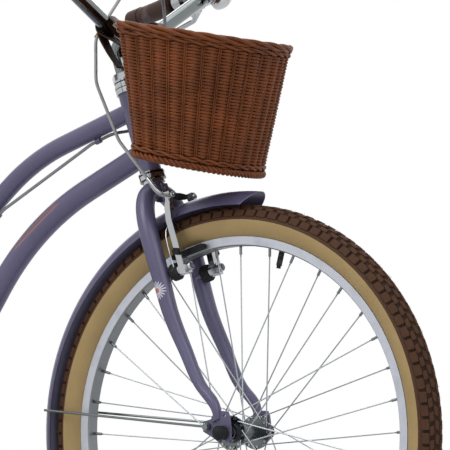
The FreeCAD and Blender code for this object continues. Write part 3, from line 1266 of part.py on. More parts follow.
bolt_spot = SEAT_TUBE_TOP - SEAT_DIRECTION * 9 + V(-SEAT_TUBE_RADIUS - 8, 0, 0)
clamp_bolt = cyl(bolt_spot - ACROSS * 11, ACROSS, 3, 22)
collar_ring = joined([collar_ring, ear, clamp_bolt]).cut(seat_solid)
keep("seat_clamp", collar_ring.cut(cyl(SEAT_TUBE_TOP - SEAT_DIRECTION * 40, SEAT_DIRECTION,
                                       post_radius + 1.0, 80)))

HEAD_O = POST_HEAD + V(0, 0, 6)
PAD_THICKNESS = SADDLE_HEIGHT - HEAD_O.z - PAN_UP


def saddle_outline(scale_x, scale_y, up, nose):
    half = SADDLE_WIDTH / 2 * scale_y
    length = SADDLE_LENGTH
    table = [(0.0, 0.0), (0.02, 0.42), (0.08, 0.80), (0.20, 1.0), (0.34, 0.93), (0.50, 0.60),
             (0.66, 0.34),
             (0.82, 0.25), (0.93, 0.20), (0.985, 0.11)]
    ring_points = [(t, w) for t, w in table] + [(1.0, 0.0)] + [(t, -w) for t, w in reversed(table[1:])]
    points = []
    for t, w in ring_points:
        x = (t - 0.45) * length * scale_x
        points.append(HEAD_O + V(x - SADDLE_BACK, w * half, up + nose * max(0.0, t - 0.45)))
    curve = Part.BSplineCurve()
    curve.interpolate(points, PeriodicFlag=True)
    return Part.Wire(curve.toShape())


levels = [(0.90, 0.88, 0.0), (0.97, 0.97, 0.14), (1.0, 1.0, 0.36), (0.985, 0.97, 0.60),
          (0.93, 0.87, 0.80),
          (0.80, 0.68, 0.94), (0.55, 0.36, 1.0)]
pad_wires = [saddle_outline(sx, sy, PAN_UP + PAN_THICK + share * (PAD_THICKNESS - PAN_THICK), 0) for sx,
             sy, share in levels]
keep("saddle_pad", Part.makeLoft(pad_wires, True, False))
pan_wire = saddle_outline(0.84, 0.80, PAN_UP, 0)
pan = Part.Face(pan_wire).extrude(V(0, 0, PAN_THICK))
rails = []
for side in (1, -1):
    rail = rounded_path([HEAD_O + V(104, side * 9, PAN_UP + 0.5), HEAD_O + V(92, side * 10, 8),
                         HEAD_O + V(50, side * RAIL_Y, 0), HEAD_O + V(-72, side * RAIL_Y, 0),
                         HEAD_O + V(-96, side * 48, -10), HEAD_O + V(-96, side * 70, -10)],
                        [16, 20, 14, 10])
    rails.append(rod(rail, RAIL_RADIUS))
cross_block = cyl(HEAD_O + V(0, -34, 0), ACROSS, 13, 68)
post_cap = cyl(POST_HEAD - SEAT_DIRECTION * 26, SEAT_DIRECTION, post_radius + 4, 26)
post_cap = post_cap.cut(cyl(POST_HEAD - SEAT_DIRECTION * 60, SEAT_DIRECTION, post_radius, 60))
seats = []
for side in (1, -1):
    seats.append(cyl(HEAD_O + V(SPRING_X, side * SPRING_Y, -7), V(0, 0, 1),
                     SPRING_RADIUS + SPRING_WIRE + 1, 3))
clamp_nuts = [hexagon(HEAD_O + V(0, side * 34, 0), V(0, side, 0), 13, 7) for side in (1, -1)]
saddle_frame = joined(rails + [pan, cross_block, post_cap] + seats + clamp_nuts)
keep("saddle_frame", saddle_frame.cut(NODES["seat_post"]))


# coil springs on paired arcs
def biarc(p0, t0, p1, t1):
    chord = p1 - p0
    total = t0 + t1
    a = 2 * (1 - t0.dot(t1))
    b = 2 * chord.dot(total)
    c = -chord.dot(chord)
    d = (-b + math.sqrt(b * b - 4 * a * c)) / (2 * a)
    first, second = p0 + t0 * d, p1 - t1 * d
    joint = (first + second) * 0.5
    return arc_from(p0, first, joint), arc_from(joint, second, p1)


def arc_from(start, corner, end):
    middle = (start + end) * 0.5
    half = (end - start).Length / 2
    rise = (corner - middle).Length
    angle = math.atan2(rise, half)
    through = middle + (corner - middle) * (math.tan(angle / 2) / math.tan(angle))
    return Part.Arc(start, through, end).toShape()


def spring(foot, height):
    lift = height / SPRING_TURNS
    quarter = SPRING_TURNS * 4
    edges = []
    rise = lift / (2 * math.pi)
    speed = math.hypot(SPRING_RADIUS, rise)
    ends = []
    for i in range(quarter + 1):
        turn = i * math.pi / 2
        point = foot + V(SPRING_RADIUS * math.cos(turn), SPRING_RADIUS * math.sin(turn), rise * turn)
        tangent = V(-SPRING_RADIUS * math.sin(turn), SPRING_RADIUS * math.cos(turn), rise) * (1 / speed)
        ends.append((point, tangent))
    for (p0, t0), (p1, t1) in zip(ends, ends[1:]):
        edges.extend(biarc(p0, t0, p1, t1))
    path = Part.Wire(edges)
    start = edges[0].valueAt(edges[0].FirstParameter)
    heading = edges[0].tangentAt(edges[0].FirstParameter)
    circle = Part.Wire(Part.Circle(start, heading, SPRING_WIRE).toShape())
    return path.makePipeShell([circle], True, False), lift


spring_foot_z = -4 + SPRING_WIRE + 0.1
spring_height = PAN_UP - 0.1 - SPRING_WIRE - spring_foot_z
springs = []
for side in (1, -1):
    coil, lift = spring(HEAD_O + V(SPRING_X, side * SPRING_Y, spring_foot_z), spring_height)
    springs.append(coil)
keep("saddle_springs", springs)
print("least gap between spring turns", round(lift - 2 * SPRING_WIRE, 3))

# centre stand
STAND_PIVOT = BRACKET + V(-84, 0, -64)
bracket_top = BRACKET + V(-82, 0, 6)
plate = flat([V(STAND_PIVOT.x - 13, -9, STAND_PIVOT.z), V(STAND_PIVOT.x + 13, -9, STAND_PIVOT.z),
              V(bracket_top.x + 14, -9, bracket_top.z), V(bracket_top.x - 14, -9, bracket_top.z)],
             V(0, 18, 0))
knuckle = cyl(STAND_PIVOT - ACROSS * 9, ACROSS, 13, 18)
stand_pin = cyl(STAND_PIVOT - ACROSS * 30, ACROSS, STAND_PIN, 60)
keep("stand_bracket", joined([plate, knuckle, stand_pin]).cut(triangle).cut(NODES["rear_fender"]))
drop = STAND_PIVOT.z


def on_leg(share, across):
    return STAND_PIVOT + V(FOOT_AHEAD * share, across, -drop * share)


legs = []
for side in (1, -1):
    foot = V(STAND_PIVOT.x + FOOT_AHEAD, side * FOOT_SPREAD, LEG_RADIUS)
    toe = foot + V(0, side * 24, 0)
    bends = [STAND_PIVOT + ACROSS * (side * 19), on_leg(0.15, side * KNEE_Y), on_leg(0.72, side * SHIN_Y),
             foot, toe]
    leg = rod(rounded_path(bends, [24, 60, 16]), LEG_RADIUS)
    hub = cyl(STAND_PIVOT + ACROSS * (side * 9.4), V(0, side, 0), 13, 18.6)
    bore = cyl(STAND_PIVOT + ACROSS * (side * 5), V(0, side, 0), STAND_PIN + RUNNING, 60)
    legs.append(joined([leg, hub]).cut(bore))
tie = cyl(on_leg(0.12, -30), ACROSS, 5, 60)
keep("stand_legs", joined(legs + [tie]))


# basket: a tapering tub with a flat back and a rounded front
basket_turn = math.radians(BASKET_TILT)


def tub_outline(width, depth, up, shift, grow):
    half = width / 2 + grow
    back = -depth / 2 - grow
    front = depth / 2 + grow
    corner = 40.0 * width / BASKET_WIDTH
    widest = back + depth * 0.30
    points = []
    for i in range(-2, 3):
        points.append((back, -i * (half - corner) / 2))
    points.append((back + corner * 0.29, -half + corner * 0.29))
    for i in range(0, 17):
        turn = math.pi * i / 16
        points.append((widest + (front - widest) * math.sin(turn), -half * math.cos(turn)))
    points.append((back + corner * 0.29, half - corner * 0.29))
    curve = Part.BSplineCurve()
    curve.interpolate([V(x + shift, y, up) for x, y in points], PeriodicFlag=True)
    return Part.Wire(curve.toShape())


def tub_ring(grow, up):
    share = up / BASKET_HEIGHT
    width = BASKET_FOOT_WIDTH + (BASKET_WIDTH - BASKET_FOOT_WIDTH) * share
    depth = BASKET_FOOT_DEPTH + (BASKET_DEPTH - BASKET_FOOT_DEPTH) * share
    return tub_outline(width, depth, up, BASKET_SHIFT * share, grow)


def tub(grow, low, high):
    return Part.makeLoft([tub_ring(grow, low), tub_ring(grow, high)], True, True)


def woven_row(inset, up, row):
    # each row of willow passes outside one stake and inside the next
    outside = tub_ring(WEAVE_RELIEF - inset, up).discretize(BASKET_STAKES + 1)
    inside = tub_ring(-WEAVE_RELIEF - inset, up).discretize(BASKET_STAKES + 1)
    points = [(outside, inside)[(row + stake) % 2][stake] for stake in range(BASKET_STAKES)]
    return Part.makePolygon(points + points[:1])


def woven_tub(inset, low, high):
    rise = (high - low) / BASKET_ROWS
    return Part.makeLoft([woven_row(inset, low + rise * row, row) for row in range(BASKET_ROWS + 1)], True,
                         True)


weave = woven_tub(0, 0, BASKET_HEIGHT)
rim_border = tub(BORDER_PROUD, BASKET_HEIGHT - RIM_BORDER, BASKET_HEIGHT)
foot_border = tub(BORDER_PROUD, 0, FOOT_BORDER)
basket_void = woven_tub(BASKET_WALL, BASKET_FLOOR, BASKET_HEIGHT + BASKET_FLOOR)
basket = joined([weave, rim_border, foot_border]).cut(basket_void)
basket.rotate(V(0, 0, 0), ACROSS, BASKET_TILT)
basket.translate(by_head(BASKET_AHEAD + BASKET_FOOT_DEPTH / 2 * math.cos(basket_turn), 0,
                         BASKET_LIFT - BASKET_FOOT_DEPTH / 2 * math.sin(basket_turn)))


def strap_prism(grow, side):
    width = STRAP_WIDTH if grow > 0 else STRAP_WIDTH + 4
    ring_at = CLAMP + V(0, 0, (STRAP_Y - BAR_FLAT) * BAR_RISE)
    wall_at = by_head(23.7, 0, 180)
    heading = unit(wall_at - ring_at)
    above = V(-heading.z, 0, heading.x)
    if above.z < 0:
        above = -above
    big, small = BAR_RADIUS + 2.2 + grow, 6.0 + grow
    points = [ring_at + above * big, wall_at + above * small, wall_at + heading * small,
              wall_at - above * small, ring_at - above * big, ring_at - heading * big]
    edges = [Part.LineSegment(points[0], points[1]).toShape(),
             Part.Arc(points[1], points[2], points[3]).toShape(),
             Part.LineSegment(points[3], points[4]).toShape(),
             Part.Arc(points[4], points[5], points[0]).toShape()]
    face = Part.Face(Part.Wire(edges))
    face.translate(V(0, side * STRAP_Y - width / 2, 0))
    return face.extrude(V(0, width, 0))


straps = []
for side in (1, -1):
    strap = strap_prism(STRAP_THICK, side).cut(strap_prism(0, side)).cut(bar_solid)
    straps.append(strap)
    basket = basket.cut(strap)
basket = max(basket.Solids, key=lambda s: s.Volume)
keep("basket", basket)
keep("basket_straps", straps)

# cables
guide_one, guide_two, guide_three = guide_spots


def brake_point(axle, out, up_way, q, y, a):
    return axle + out * q + ACROSS * y + up_way * a


front_q = pad_x(FRONT_LEG_X)
ARM_TOP_Y = POST_Y - 6.0
start, way = cable_starts["left"]
front_route = [start, start + way * 75, by_head(-0.3, 225, 330), by_head(-25.3, 150, 346),
               by_head(-40.3, 60, 320), by_head(-51.3, 0, 269),
               by_head(-62.3, -52, 204), by_head(-55.3, -62, 134), by_head(-17.3, -58, 46),
               fork_point(front_q - 14, -50, CABLE_UP + 30),
               fork_point(front_q, -58, CABLE_UP), fork_point(front_q, -ARM_TOP_Y - 0.1, CABLE_UP)]
front_bends = [40, 40, 45, 60, 45, 45, 60, 45, 14, 12]
front_path = rounded_path(front_route, front_bends)
front_cable = rod(front_path, CABLE_RADIUS)
wire = cyl(fork_point(front_q, -ARM_TOP_Y - 0.1, CABLE_UP), ACROSS, WIRE_RADIUS, 2 * ARM_TOP_Y + 6)
keep("front_brake_cable", [front_cable, wire])
print("front cable length", round(front_path.Length, 1))

start, way = cable_starts["right"]
centre, heading = guide_one
loop_route = [start, start + way * 60, by_head(10.7, -110, 349), by_head(8.7, 0, 326),
              by_head(-5.3, 44, 254), by_head(-3.3, 48, 184),
              by_head(-21.3, 46, 124), by_head(-45.3, 36, 70), centre - heading * 30,
              centre - heading * (GUIDE_LENGTH / 2)]
loop_path = rounded_path(loop_route, [60, 60, 50, 50, 50, 45, 25, 20])
keep("steering_cable_loop", rod(loop_path, CABLE_RADIUS))

rear_q = pad_x(REAR_LEG_X)
rear_route = [centre - heading * (GUIDE_LENGTH / 2)]
for spot, heading in guide_spots:
    rear_route += [spot + heading * 14] if spot is guide_spots[0][0] else [spot - heading * 14,
                                                                           spot + heading * 14]
seat_low = BRACKET + SEAT_DIRECTION * (SEAT_TUBE_LENGTH * UPPER_JOIN + 45)
seat_high = BRACKET + SEAT_DIRECTION * (SEAT_TUBE_LENGTH * STAY_TOP - 22)
rear_route += [spot + heading * 70 + ACROSS * REAR_CABLE_Y, seat_low + ACROSS * REAR_CABLE_Y,
               seat_high + ACROSS * (REAR_CABLE_Y + 4),
               brake_point(REAR, REAR_OUT, REAR_UP, 24, 42, 425),
               brake_point(REAR, REAR_OUT, REAR_UP, rear_q, 58, CABLE_UP + 34),
               brake_point(REAR, REAR_OUT, REAR_UP, rear_q, 58, CABLE_UP),
               brake_point(REAR, REAR_OUT, REAR_UP, rear_q, ARM_TOP_Y + 0.1, CABLE_UP)]
rear_bends = [40] * (len(rear_route) - 2)
rear_bends[-1] = 12
rear_bends[-2] = 12
rear_bends[-3] = 18
rear_path = rounded_path(rear_route, rear_bends)
rear_wire = cyl(brake_point(REAR, REAR_OUT, REAR_UP, rear_q, ARM_TOP_Y + 0.1, CABLE_UP), V(0, -1, 0),
                WIRE_RADIUS, 2 * ARM_TOP_Y + 6)
keep("rear_brake_cable", [rod(rear_path, CABLE_RADIUS), rear_wire])
print("rear cable length", round(rear_path.Length, 1), "loop", round(loop_path.Length, 1))

os.makedirs("parts", exist_ok=True)
for name, shape in NODES.items():
    shape.exportStep("parts/" + name + ".step")
print(len(NODES), "pieces")
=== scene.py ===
"""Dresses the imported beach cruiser: tread, wicker, leather, cushion, cable trim, finishes and studio."""
import json
import math
import random

import bpy
from bpy.props import FloatProperty, FloatVectorProperty, IntProperty, PointerProperty
from mathutils import Matrix, Vector


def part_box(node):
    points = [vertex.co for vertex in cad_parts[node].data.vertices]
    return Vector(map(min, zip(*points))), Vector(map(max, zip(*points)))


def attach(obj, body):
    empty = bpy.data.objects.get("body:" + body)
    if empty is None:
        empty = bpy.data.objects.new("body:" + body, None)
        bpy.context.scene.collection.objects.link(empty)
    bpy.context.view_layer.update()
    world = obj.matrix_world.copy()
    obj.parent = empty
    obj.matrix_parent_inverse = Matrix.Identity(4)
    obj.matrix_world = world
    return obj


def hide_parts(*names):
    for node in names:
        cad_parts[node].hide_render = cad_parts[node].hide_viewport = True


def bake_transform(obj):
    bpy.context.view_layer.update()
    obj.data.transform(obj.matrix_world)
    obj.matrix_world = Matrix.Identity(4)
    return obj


bl_info = {
    "name": "Beach Cruiser Dresser",
    "version": (1, 0, 0),
    "blender": (4, 5, 0),
    "location": "View3D > Sidebar > Cruiser",
    "description": "Adds tread, wicker, leather, trim and finishes to the packed bicycle",
    "category": "Object",
}

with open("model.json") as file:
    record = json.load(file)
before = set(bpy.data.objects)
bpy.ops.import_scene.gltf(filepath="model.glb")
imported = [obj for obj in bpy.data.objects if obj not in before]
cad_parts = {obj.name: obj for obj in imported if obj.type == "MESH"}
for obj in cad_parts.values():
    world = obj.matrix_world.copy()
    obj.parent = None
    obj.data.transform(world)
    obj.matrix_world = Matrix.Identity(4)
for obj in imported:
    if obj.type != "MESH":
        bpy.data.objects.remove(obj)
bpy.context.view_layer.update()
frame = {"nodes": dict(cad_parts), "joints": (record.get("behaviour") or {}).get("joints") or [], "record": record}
NODES = frame["nodes"]
JOINTS = {joint["name"]: joint for joint in frame["joints"]}
ACROSS = Vector((0, 1, 0))
UP = Vector((0, 0, 1))


def joint_place(name):
    """Where a joint sits at rest, in metres."""
    return Vector(JOINTS[name]["pos_m"])


def joint_axis(name):
    """The line that a joint turns about or slides along."""
    return Vector(JOINTS[name]["axis"]).normalized()


FRONT_AXLE = joint_place("front_wheel_spin")
REAR_AXLE = joint_place("rear_wheel_spin")
HEAD_AXIS = joint_axis("steering_turn")
AHEAD = ACROSS.cross(HEAD_AXIS).normalized()


def tone(hexadecimal):
    """A written sRGB colour as the linear RGBA that sockets take."""
    parts = [int(hexadecimal[i:i + 2], 16) / 255 for i in (1, 3, 5)]
    return tuple(c / 12.92 if c <= 0.04045 else ((c + 0.055) / 1.055) ** 2.4 for c in parts) + (1.0,)


def swatch(title, about, hexadecimal):
    """A colour that a user can change in the panel."""
    return FloatVectorProperty(name=title, description=about, subtype="COLOR", size=4, min=0, max=1,
                               default=tone(hexadecimal))


def measure(title, about, metres):
    """A length that a user can change in the panel."""
    return FloatProperty(name=title, description=about, default=metres, unit="LENGTH", precision=4)


def bearing(title, about, degrees):
    """An angle that a user can change in the panel."""
    return FloatProperty(name=title, description=about, default=math.radians(degrees), subtype="ANGLE")


def tally(title, about, number):
    """A count that a user can change in the panel."""
    return IntProperty(name=title, description=about, default=number, min=1)


class CruiserColours(bpy.types.PropertyGroup):
    """Colours of the finishes."""

    paint: swatch("Paint", "Satin lavender of frame, fork and fenders", "#635f7e")
    paint_shade: swatch("Paint shade", "Deeper flecks in the paint", "#514d6a")
    tread: swatch("Tread", "Brown rubber of the tread", "#563a29")
    sidewall: swatch("Sidewall", "Tan wall of the tyre", "#ad9466")
    wicker: swatch("Wicker", "Reddish brown willow", "#854721")
    wicker_dark: swatch("Wicker shade", "Darker streaks of the willow", "#4f2910")
    leather: swatch("Leather", "Dark strap and grip leather", "#3a2118")
    saddle: swatch("Saddle leather", "Brown leather of the saddle", "#5b3624")
    silver_cable: swatch("Front cable", "Light grey housing", "#a3a6a8")
    dark_cable: swatch("Rear cable", "Darker grey housing", "#6d6c70")
    copper: swatch("Copper line", "Pin stripes on the lower tube", "#a5694d")


class CruiserBasket(bpy.types.PropertyGroup):
    """The wicker basket's sizes: a little lower and more tilted than its solid, as in the photograph."""

    width: measure("Width", "Across the rim", 0.300)
    depth: measure("Depth", "From the back to the front of the rim", 0.192)
    foot_width: measure("Foot width", "Across the foot", 0.234)
    foot_depth: measure("Foot depth", "From the back to the front of the foot", 0.134)
    height: measure("Height", "From foot to rim", 0.197)
    lean: measure("Lean", "How far the rim's middle stands back from the foot's", -0.017)
    tilt: bearing("Tilt", "The front hangs lower", 10.8)
    stakes: tally("Stakes", "Upright rods, in pairs, round the wall", 60)
    rows: tally("Rows", "Weaver rows between the borders", 35)
    rod: measure("Weaver", "Thickness of one weaver", 0.0043)


class CruiserTyre(bpy.types.PropertyGroup):
    """Tread and wall of both tyres."""

    pitches: tally("Pitches", "Tread patterns round the tyre", 104)
    tread_depth: measure("Tread depth", "How far the blocks stand out", 0.0030)


class CruiserCamera(bpy.types.PropertyGroup):
    """The photograph's viewpoint."""

    place: FloatVectorProperty(name="Place", description="Where the camera stands", subtype="TRANSLATION",
                               size=3, default=(3.3310, -4.15237, 0.36587))
    azimuth: bearing("Azimuth", "Turned from the right side toward the front", 34.1287)
    pitch: bearing("Pitch", "Looking up", 3.0715)
    roll: bearing("Roll", "Clockwise lean", 0.5634)
    lens: FloatProperty(name="Lens", description="Focal length in millimetres", default=274.36)


def chosen(name):
    """The colour that the panel holds under a name."""
    return tuple(getattr(bpy.context.scene.cruiser_colours, name))


class Wire:
    """A shader socket that takes part in plain arithmetic."""

    def __init__(self, finish, socket):
        self.finish = finish
        self.socket = socket

    def maths(self, operation, *others):
        sockets = dict(enumerate((self, *others)))
        return self.finish.node("ShaderNodeMath", {"operation": operation}, sockets)

    def flipped(self, operation, other):
        return self.finish.node("ShaderNodeMath", {"operation": operation}, {0: other, 1: self})

    def __add__(self, other):
        return self.maths("ADD", other)

    def __sub__(self, other):
        return self.maths("SUBTRACT", other)

    def __mul__(self, other):
        return self.maths("MULTIPLY", other)

    def __truediv__(self, other):
        return self.maths("DIVIDE", other)

    def __rsub__(self, other):
        return self.flipped("SUBTRACT", other)

    __radd__ = __add__
    __rmul__ = __mul__

    def ramp(self, low, high):
        """0 below low, 1 above high, smooth between."""
        return self.finish.node("ShaderNodeMapRange", {"interpolation_type": "SMOOTHSTEP"},
                                {"Value": self, "From Min": low, "From Max": high})


class Finish:
    """One procedural material, built on Object coordinates."""

    def __init__(self, name, roughness, metallic=0.0, coat=0.0, coat_roughness=0.1, specular=0.5):
        self.material = bpy.data.materials.new(name)
        self.material.use_nodes = True
        tree = self.material.node_tree
        self.nodes = tree.nodes
        self.links = tree.links
        self.shader = self.nodes["Principled BSDF"]
        for socket, value in (("Roughness", roughness), ("Metallic", metallic), ("Coat Weight", coat),
                              ("Coat Roughness", coat_roughness), ("Specular IOR Level", specular)):
            self.shader.inputs[socket].default_value = value
        self.place = self.node("ShaderNodeTexCoord", output="Object")

    def node(self, kind, settings=None, sockets=None, output=0):
        """Adds a node: its settings first, then values or wires on its sockets."""
        made = self.nodes.new(kind)
        for key, value in (settings or {}).items():
            setattr(made, key, value)
        for key, value in (sockets or {}).items():
            if isinstance(value, Wire):
                self.links.new(value.socket, made.inputs[key])
            else:
                made.inputs[key].default_value = value
        return Wire(self, made.outputs[output])

    def axes(self, source=None):
        """The three numbers of a position."""
        made = self.node("ShaderNodeSeparateXYZ", None, {0: source or self.place})
        outputs = made.socket.node.outputs
        return [Wire(self, outputs[i]) for i in range(3)]

    def noise(self, scale, detail=3.0, stretch=(1, 1, 1), roughness=0.55):
        """Soft cloud noise, stretched along the axes with small numbers."""
        spot = self.node("ShaderNodeMapping", None, {"Vector": self.place, "Scale": stretch})
        return self.node("ShaderNodeTexNoise", None,
                         {"Vector": spot, "Scale": scale, "Detail": detail, "Roughness": roughness})

    def cells(self, scale):
        """Distance to the nearest of many scattered points."""
        return self.node("ShaderNodeTexVoronoi", None, {"Vector": self.place, "Scale": scale})

    def along(self, spot, way):
        """How far a place lies from a spot, measured along a way."""
        offset = self.node("ShaderNodeVectorMath", {"operation": "SUBTRACT"}, {0: self.place, 1: tuple(spot)})
        return self.node("ShaderNodeVectorMath", {"operation": "DOT_PRODUCT"},
                         {0: offset, 1: tuple(way)}, "Value")

    def mix(self, mask, low, high):
        """low where the mask is 0, high where it is 1."""
        return self.node("ShaderNodeMix", {"data_type": "RGBA"}, {0: mask, 6: low, 7: high}, 2)

    def feed(self, socket, wire):
        self.links.new(wire.socket, self.shader.inputs[socket])

    def done(self, colour, roughness, height=None, depth=0.0, strength=1.0):
        """The material, with its surface raised by depth metres where height is 1."""
        self.feed("Base Color", colour)
        self.feed("Roughness", roughness)
        if height is not None:
            sockets = {"Strength": strength, "Distance": depth, "Height": height}
            self.feed("Normal", self.node("ShaderNodeBump", None, sockets))
        return self.material


def lighter(colour, share):
    """A colour moved toward white, or toward black when share is below 0."""
    if share < 0:
        return tuple(c * (1 + share) for c in colour[:3]) + (1.0,)
    return tuple(c + (1 - c) * share for c in colour[:3]) + (1.0,)


def flower_mask(finish, spot, normal, size, petals):
    """Masks of a plain daisy's petals and eye on one side of a tube."""
    side = normal.cross(HEAD_AXIS).normalized()
    top = side.cross(normal).normalized()
    across, up, out = (finish.along(spot, way) for way in (side, top, normal))
    reach = (across * across + up * up).maths("SQRT") / size
    turn = up.maths("ARCTAN2", across) * petals / 2
    petal = turn.maths("COSINE").maths("ABSOLUTE")
    outline = (0.25 + petal * 0.75) - reach
    facing = out.ramp(-0.009, -0.006)
    eye = (0.22 - reach).ramp(0.0, 0.04) * facing
    petal_mask = outline.ramp(0.0, 0.05) * (reach - 0.24).ramp(0.0, 0.03) * facing
    return petal_mask, eye


def paint(name, flowers=(), lines=None):
    """Satin lavender paint with fine flake, faint orange peel and rubbed patches."""
    made = Finish(name, 0.38, 0.18, 0.2, 0.22)
    flake = made.noise(2600, 1.0)
    cloud = made.noise(9, 3.0)
    colour = made.mix((flake * 0.45 + cloud * 0.55).ramp(0.3, 0.75), chosen("paint_shade"), chosen("paint"))
    rubbed = made.noise(160, 5.0).ramp(0.70, 0.78) * made.noise(14, 2.0).ramp(0.55, 0.7)
    colour = made.mix(rubbed * 0.25, colour, lighter(chosen("paint"), 0.25))
    for flower in flowers:
        petals, eye = flower_mask(made, *flower)
        colour = made.mix(petals * 0.85, colour, tone("#d5d6e2"))
        colour = made.mix(eye, colour, tone("#d2602e"))
    if lines:
        colour = made.mix(lines(made), colour, chosen("copper"))
    rough = 0.34 + cloud * 0.10 + rubbed * 0.15
    return made.done(colour, rough, made.noise(700, 2.0), 0.00005, 0.35)


def plated(name, colour, roughness, smudge=0.05, seals=()):
    """Polished plated metal with faint smudges, hairline wear and dark seal lines round the head's axis."""
    made = Finish(name, roughness, 1.0)
    film = made.noise(24, 3.0)
    hair = made.noise(900, 2.0, (1, 0.08, 1))
    colour = made.mix(film.ramp(0.35, 0.7), lighter(colour, -0.08), colour)
    for spot, half in seals:
        line = 1 - (made.along(spot, HEAD_AXIS).maths("ABSOLUTE") - half).ramp(-0.0002, 0.0002)
        colour = made.mix(line, colour, tone("#1d1c20"))
    rough = roughness + film * smudge + hair.ramp(0.6, 0.8) * 0.05
    return made.done(colour, rough, hair, 0.00001, 0.12)


def brushed(name, colour, roughness, stretch=(1, 1, 0.05)):
    """Satin metal with fine working lines."""
    made = Finish(name, roughness, 1.0)
    lines = made.noise(1400, 3.0, stretch)
    film = made.noise(60, 3.0)
    worn = (lines * 0.6 + film * 0.4).ramp(0.3, 0.7)
    colour = made.mix(worn, lighter(colour, -0.22), colour)
    rough = roughness + lines * 0.12
    return made.done(colour, rough, lines, 0.00003, 0.4)


def around(finish, centre):
    """Distance from a wheel's axis, and the side offset."""
    x, y, z = finish.axes()
    east = x - centre.x
    high = z - centre.z
    return (east * east + high * high).maths("SQRT"), y


def rim_alloy(name, centre):
    """Turned aluminium rim with painted shade on its inner face between the walls, and a worn brake track on its
    walls.
    """
    made = Finish(name, 0.36, 0.85)
    reach, side = around(made, centre)
    rings = made.node("ShaderNodeTexNoise", {"noise_dimensions": "1D"},
                      {"W": reach, "Scale": 2600.0, "Detail": 2.0})
    film = made.noise(26, 3.0)
    track = side.maths("ABSOLUTE").ramp(0.0118, 0.0122)
    colour = made.mix((rings * 0.5 + film * 0.5).ramp(0.3, 0.7), tone("#a9adb6"), tone("#cfd2da"))
    colour = made.mix(track * film.ramp(0.45, 0.75) * 0.35, colour, tone("#8d9198"))
    # painted shade: the face between the brake walls, turned toward the hub, is darkened as if in shadow
    colour = made.mix(1 - track, colour, tone("#84878a"))
    rough = 0.30 + rings * 0.12 + film * 0.08
    return made.done(colour, rough, rings, 0.00004, 0.5)


def spoke_steel(name, centre):
    """Drawn stainless spokes with darker plated nipples at the rim."""
    made = Finish(name, 0.28, 1.0)
    reach, _ = around(made, centre)
    film = made.noise(420, 2.0)
    nipple = reach.ramp(0.2545, 0.2555)
    colour = made.mix(film, tone("#8f9496"), tone("#b9bdc0"))
    colour = made.mix(nipple, colour, tone("#76797b"))
    rough = 0.22 + film * 0.16
    return made.done(colour, rough)


def tread_rubber(name):
    """Brown tread rubber, dusty in the hollows and faintly grained."""
    made = Finish(name, 0.72, specular=0.2)
    grain = made.noise(900, 4.0)
    dust = made.noise(55, 4.0)
    brown = chosen("tread")
    colour = made.mix((grain * 0.5 + dust * 0.5).ramp(0.3, 0.72), lighter(brown, -0.36), brown)
    rough = 0.62 + dust * 0.25
    return made.done(colour, rough, grain, 0.00018, 0.6)


def casing_rubber(name, centre, seam, groove):
    """Tan wall with a brown shoulder, painted shade in the grooves under the tread, moulded rings and scattered
    specks.
    """
    made = Finish(name, 0.58, specular=0.25)
    reach, _ = around(made, centre)
    grain = made.noise(520, 4.0)
    stain = made.noise(20, 4.0)
    speck = made.cells(210)
    tan = chosen("sidewall")
    wall = made.mix((grain * 0.35 + stain * 0.65).ramp(0.3, 0.75), lighter(tan, -0.16), tan)
    wall = made.mix((0.10 - speck).ramp(0.0, 0.05) * stain.ramp(0.5, 0.65) * 0.55, wall, tone("#5d4a30"))
    brown = chosen("tread")
    shoulder = made.mix(grain.ramp(0.3, 0.7), lighter(brown, -0.34), lighter(brown, -0.12))
    # painted shade: the casing under and between the tread blocks is made nearly black, standing for the shadow in
    # the grooves
    shoulder = made.mix(reach.ramp(groove, groove + 0.0012), shoulder, lighter(brown, -0.72))
    edge = (reach + made.noise(300, 2.0) * 0.0006).ramp(seam - 0.0001, seam + 0.0005)
    rough = 0.50 + stain * 0.18 + edge * 0.12
    rings = (reach * 3200).maths("SINE") * (0.292 - reach).ramp(0.0, 0.002)
    return made.done(made.mix(edge, wall, shoulder), rough, grain * 0.5 + rings * 0.5, 0.00022, 0.5)


def willow(name, stretch, shade=0.0):
    """Split willow: long fibre streaks, reddish and dark, under a thin varnish. A shade below 0 darkens both
    colours, as painted shade.
    """
    made = Finish(name, 0.5, 0.0, 0.05, 0.3, 0.22)
    fibre = made.noise(240, 5.0, stretch, 0.65)
    patch = made.noise(26, 3.0)
    light, dark = lighter(chosen("wicker"), shade), lighter(chosen("wicker_dark"), shade)
    colour = made.mix((fibre * 0.6 + patch * 0.4).ramp(0.32, 0.68), dark, light)
    colour = made.mix(fibre.ramp(0.66, 0.8) * 0.5, colour, lighter(light, 0.16))
    rough = 0.42 + fibre * 0.24
    return made.done(colour, rough, fibre, 0.00035, 0.7)


def hide(name, colour, grain_scale, wear):
    """Leather: pebbled grain, fine creases and paler rubbed places."""
    made = Finish(name, 0.55, 0.0, 0.04, 0.4, 0.22)
    pebble = made.cells(grain_scale)
    crease = made.noise(grain_scale * 0.35, 6.0)
    rub = made.noise(24, 3.0).ramp(0.5, 0.72)
    base = made.mix(crease.ramp(0.3, 0.7), lighter(colour, -0.28), colour)
    colour = made.mix(rub * wear, base, lighter(colour, 0.16))
    rough = 0.46 + crease * 0.22 - rub * 0.08
    return made.done(colour, rough, pebble * 0.7 + crease * 0.6, 0.00035, 0.7)


def moulded(name, colour, roughness, texture=0.00008):
    """Moulded plastic or black rubber with a fine matt texture and scuffs."""
    made = Finish(name, roughness, specular=0.12)
    grain = made.noise(1100, 3.0)
    scuff = made.noise(46, 5.0).ramp(0.62, 0.75)
    base = made.mix(grain, lighter(colour, -0.25), lighter(colour, 0.03))
    colour = made.mix(scuff * 0.3, base, lighter(colour, 0.12))
    rough = roughness + grain * 0.12 - scuff * 0.06
    return made.done(colour, rough, grain, texture, 0.6)


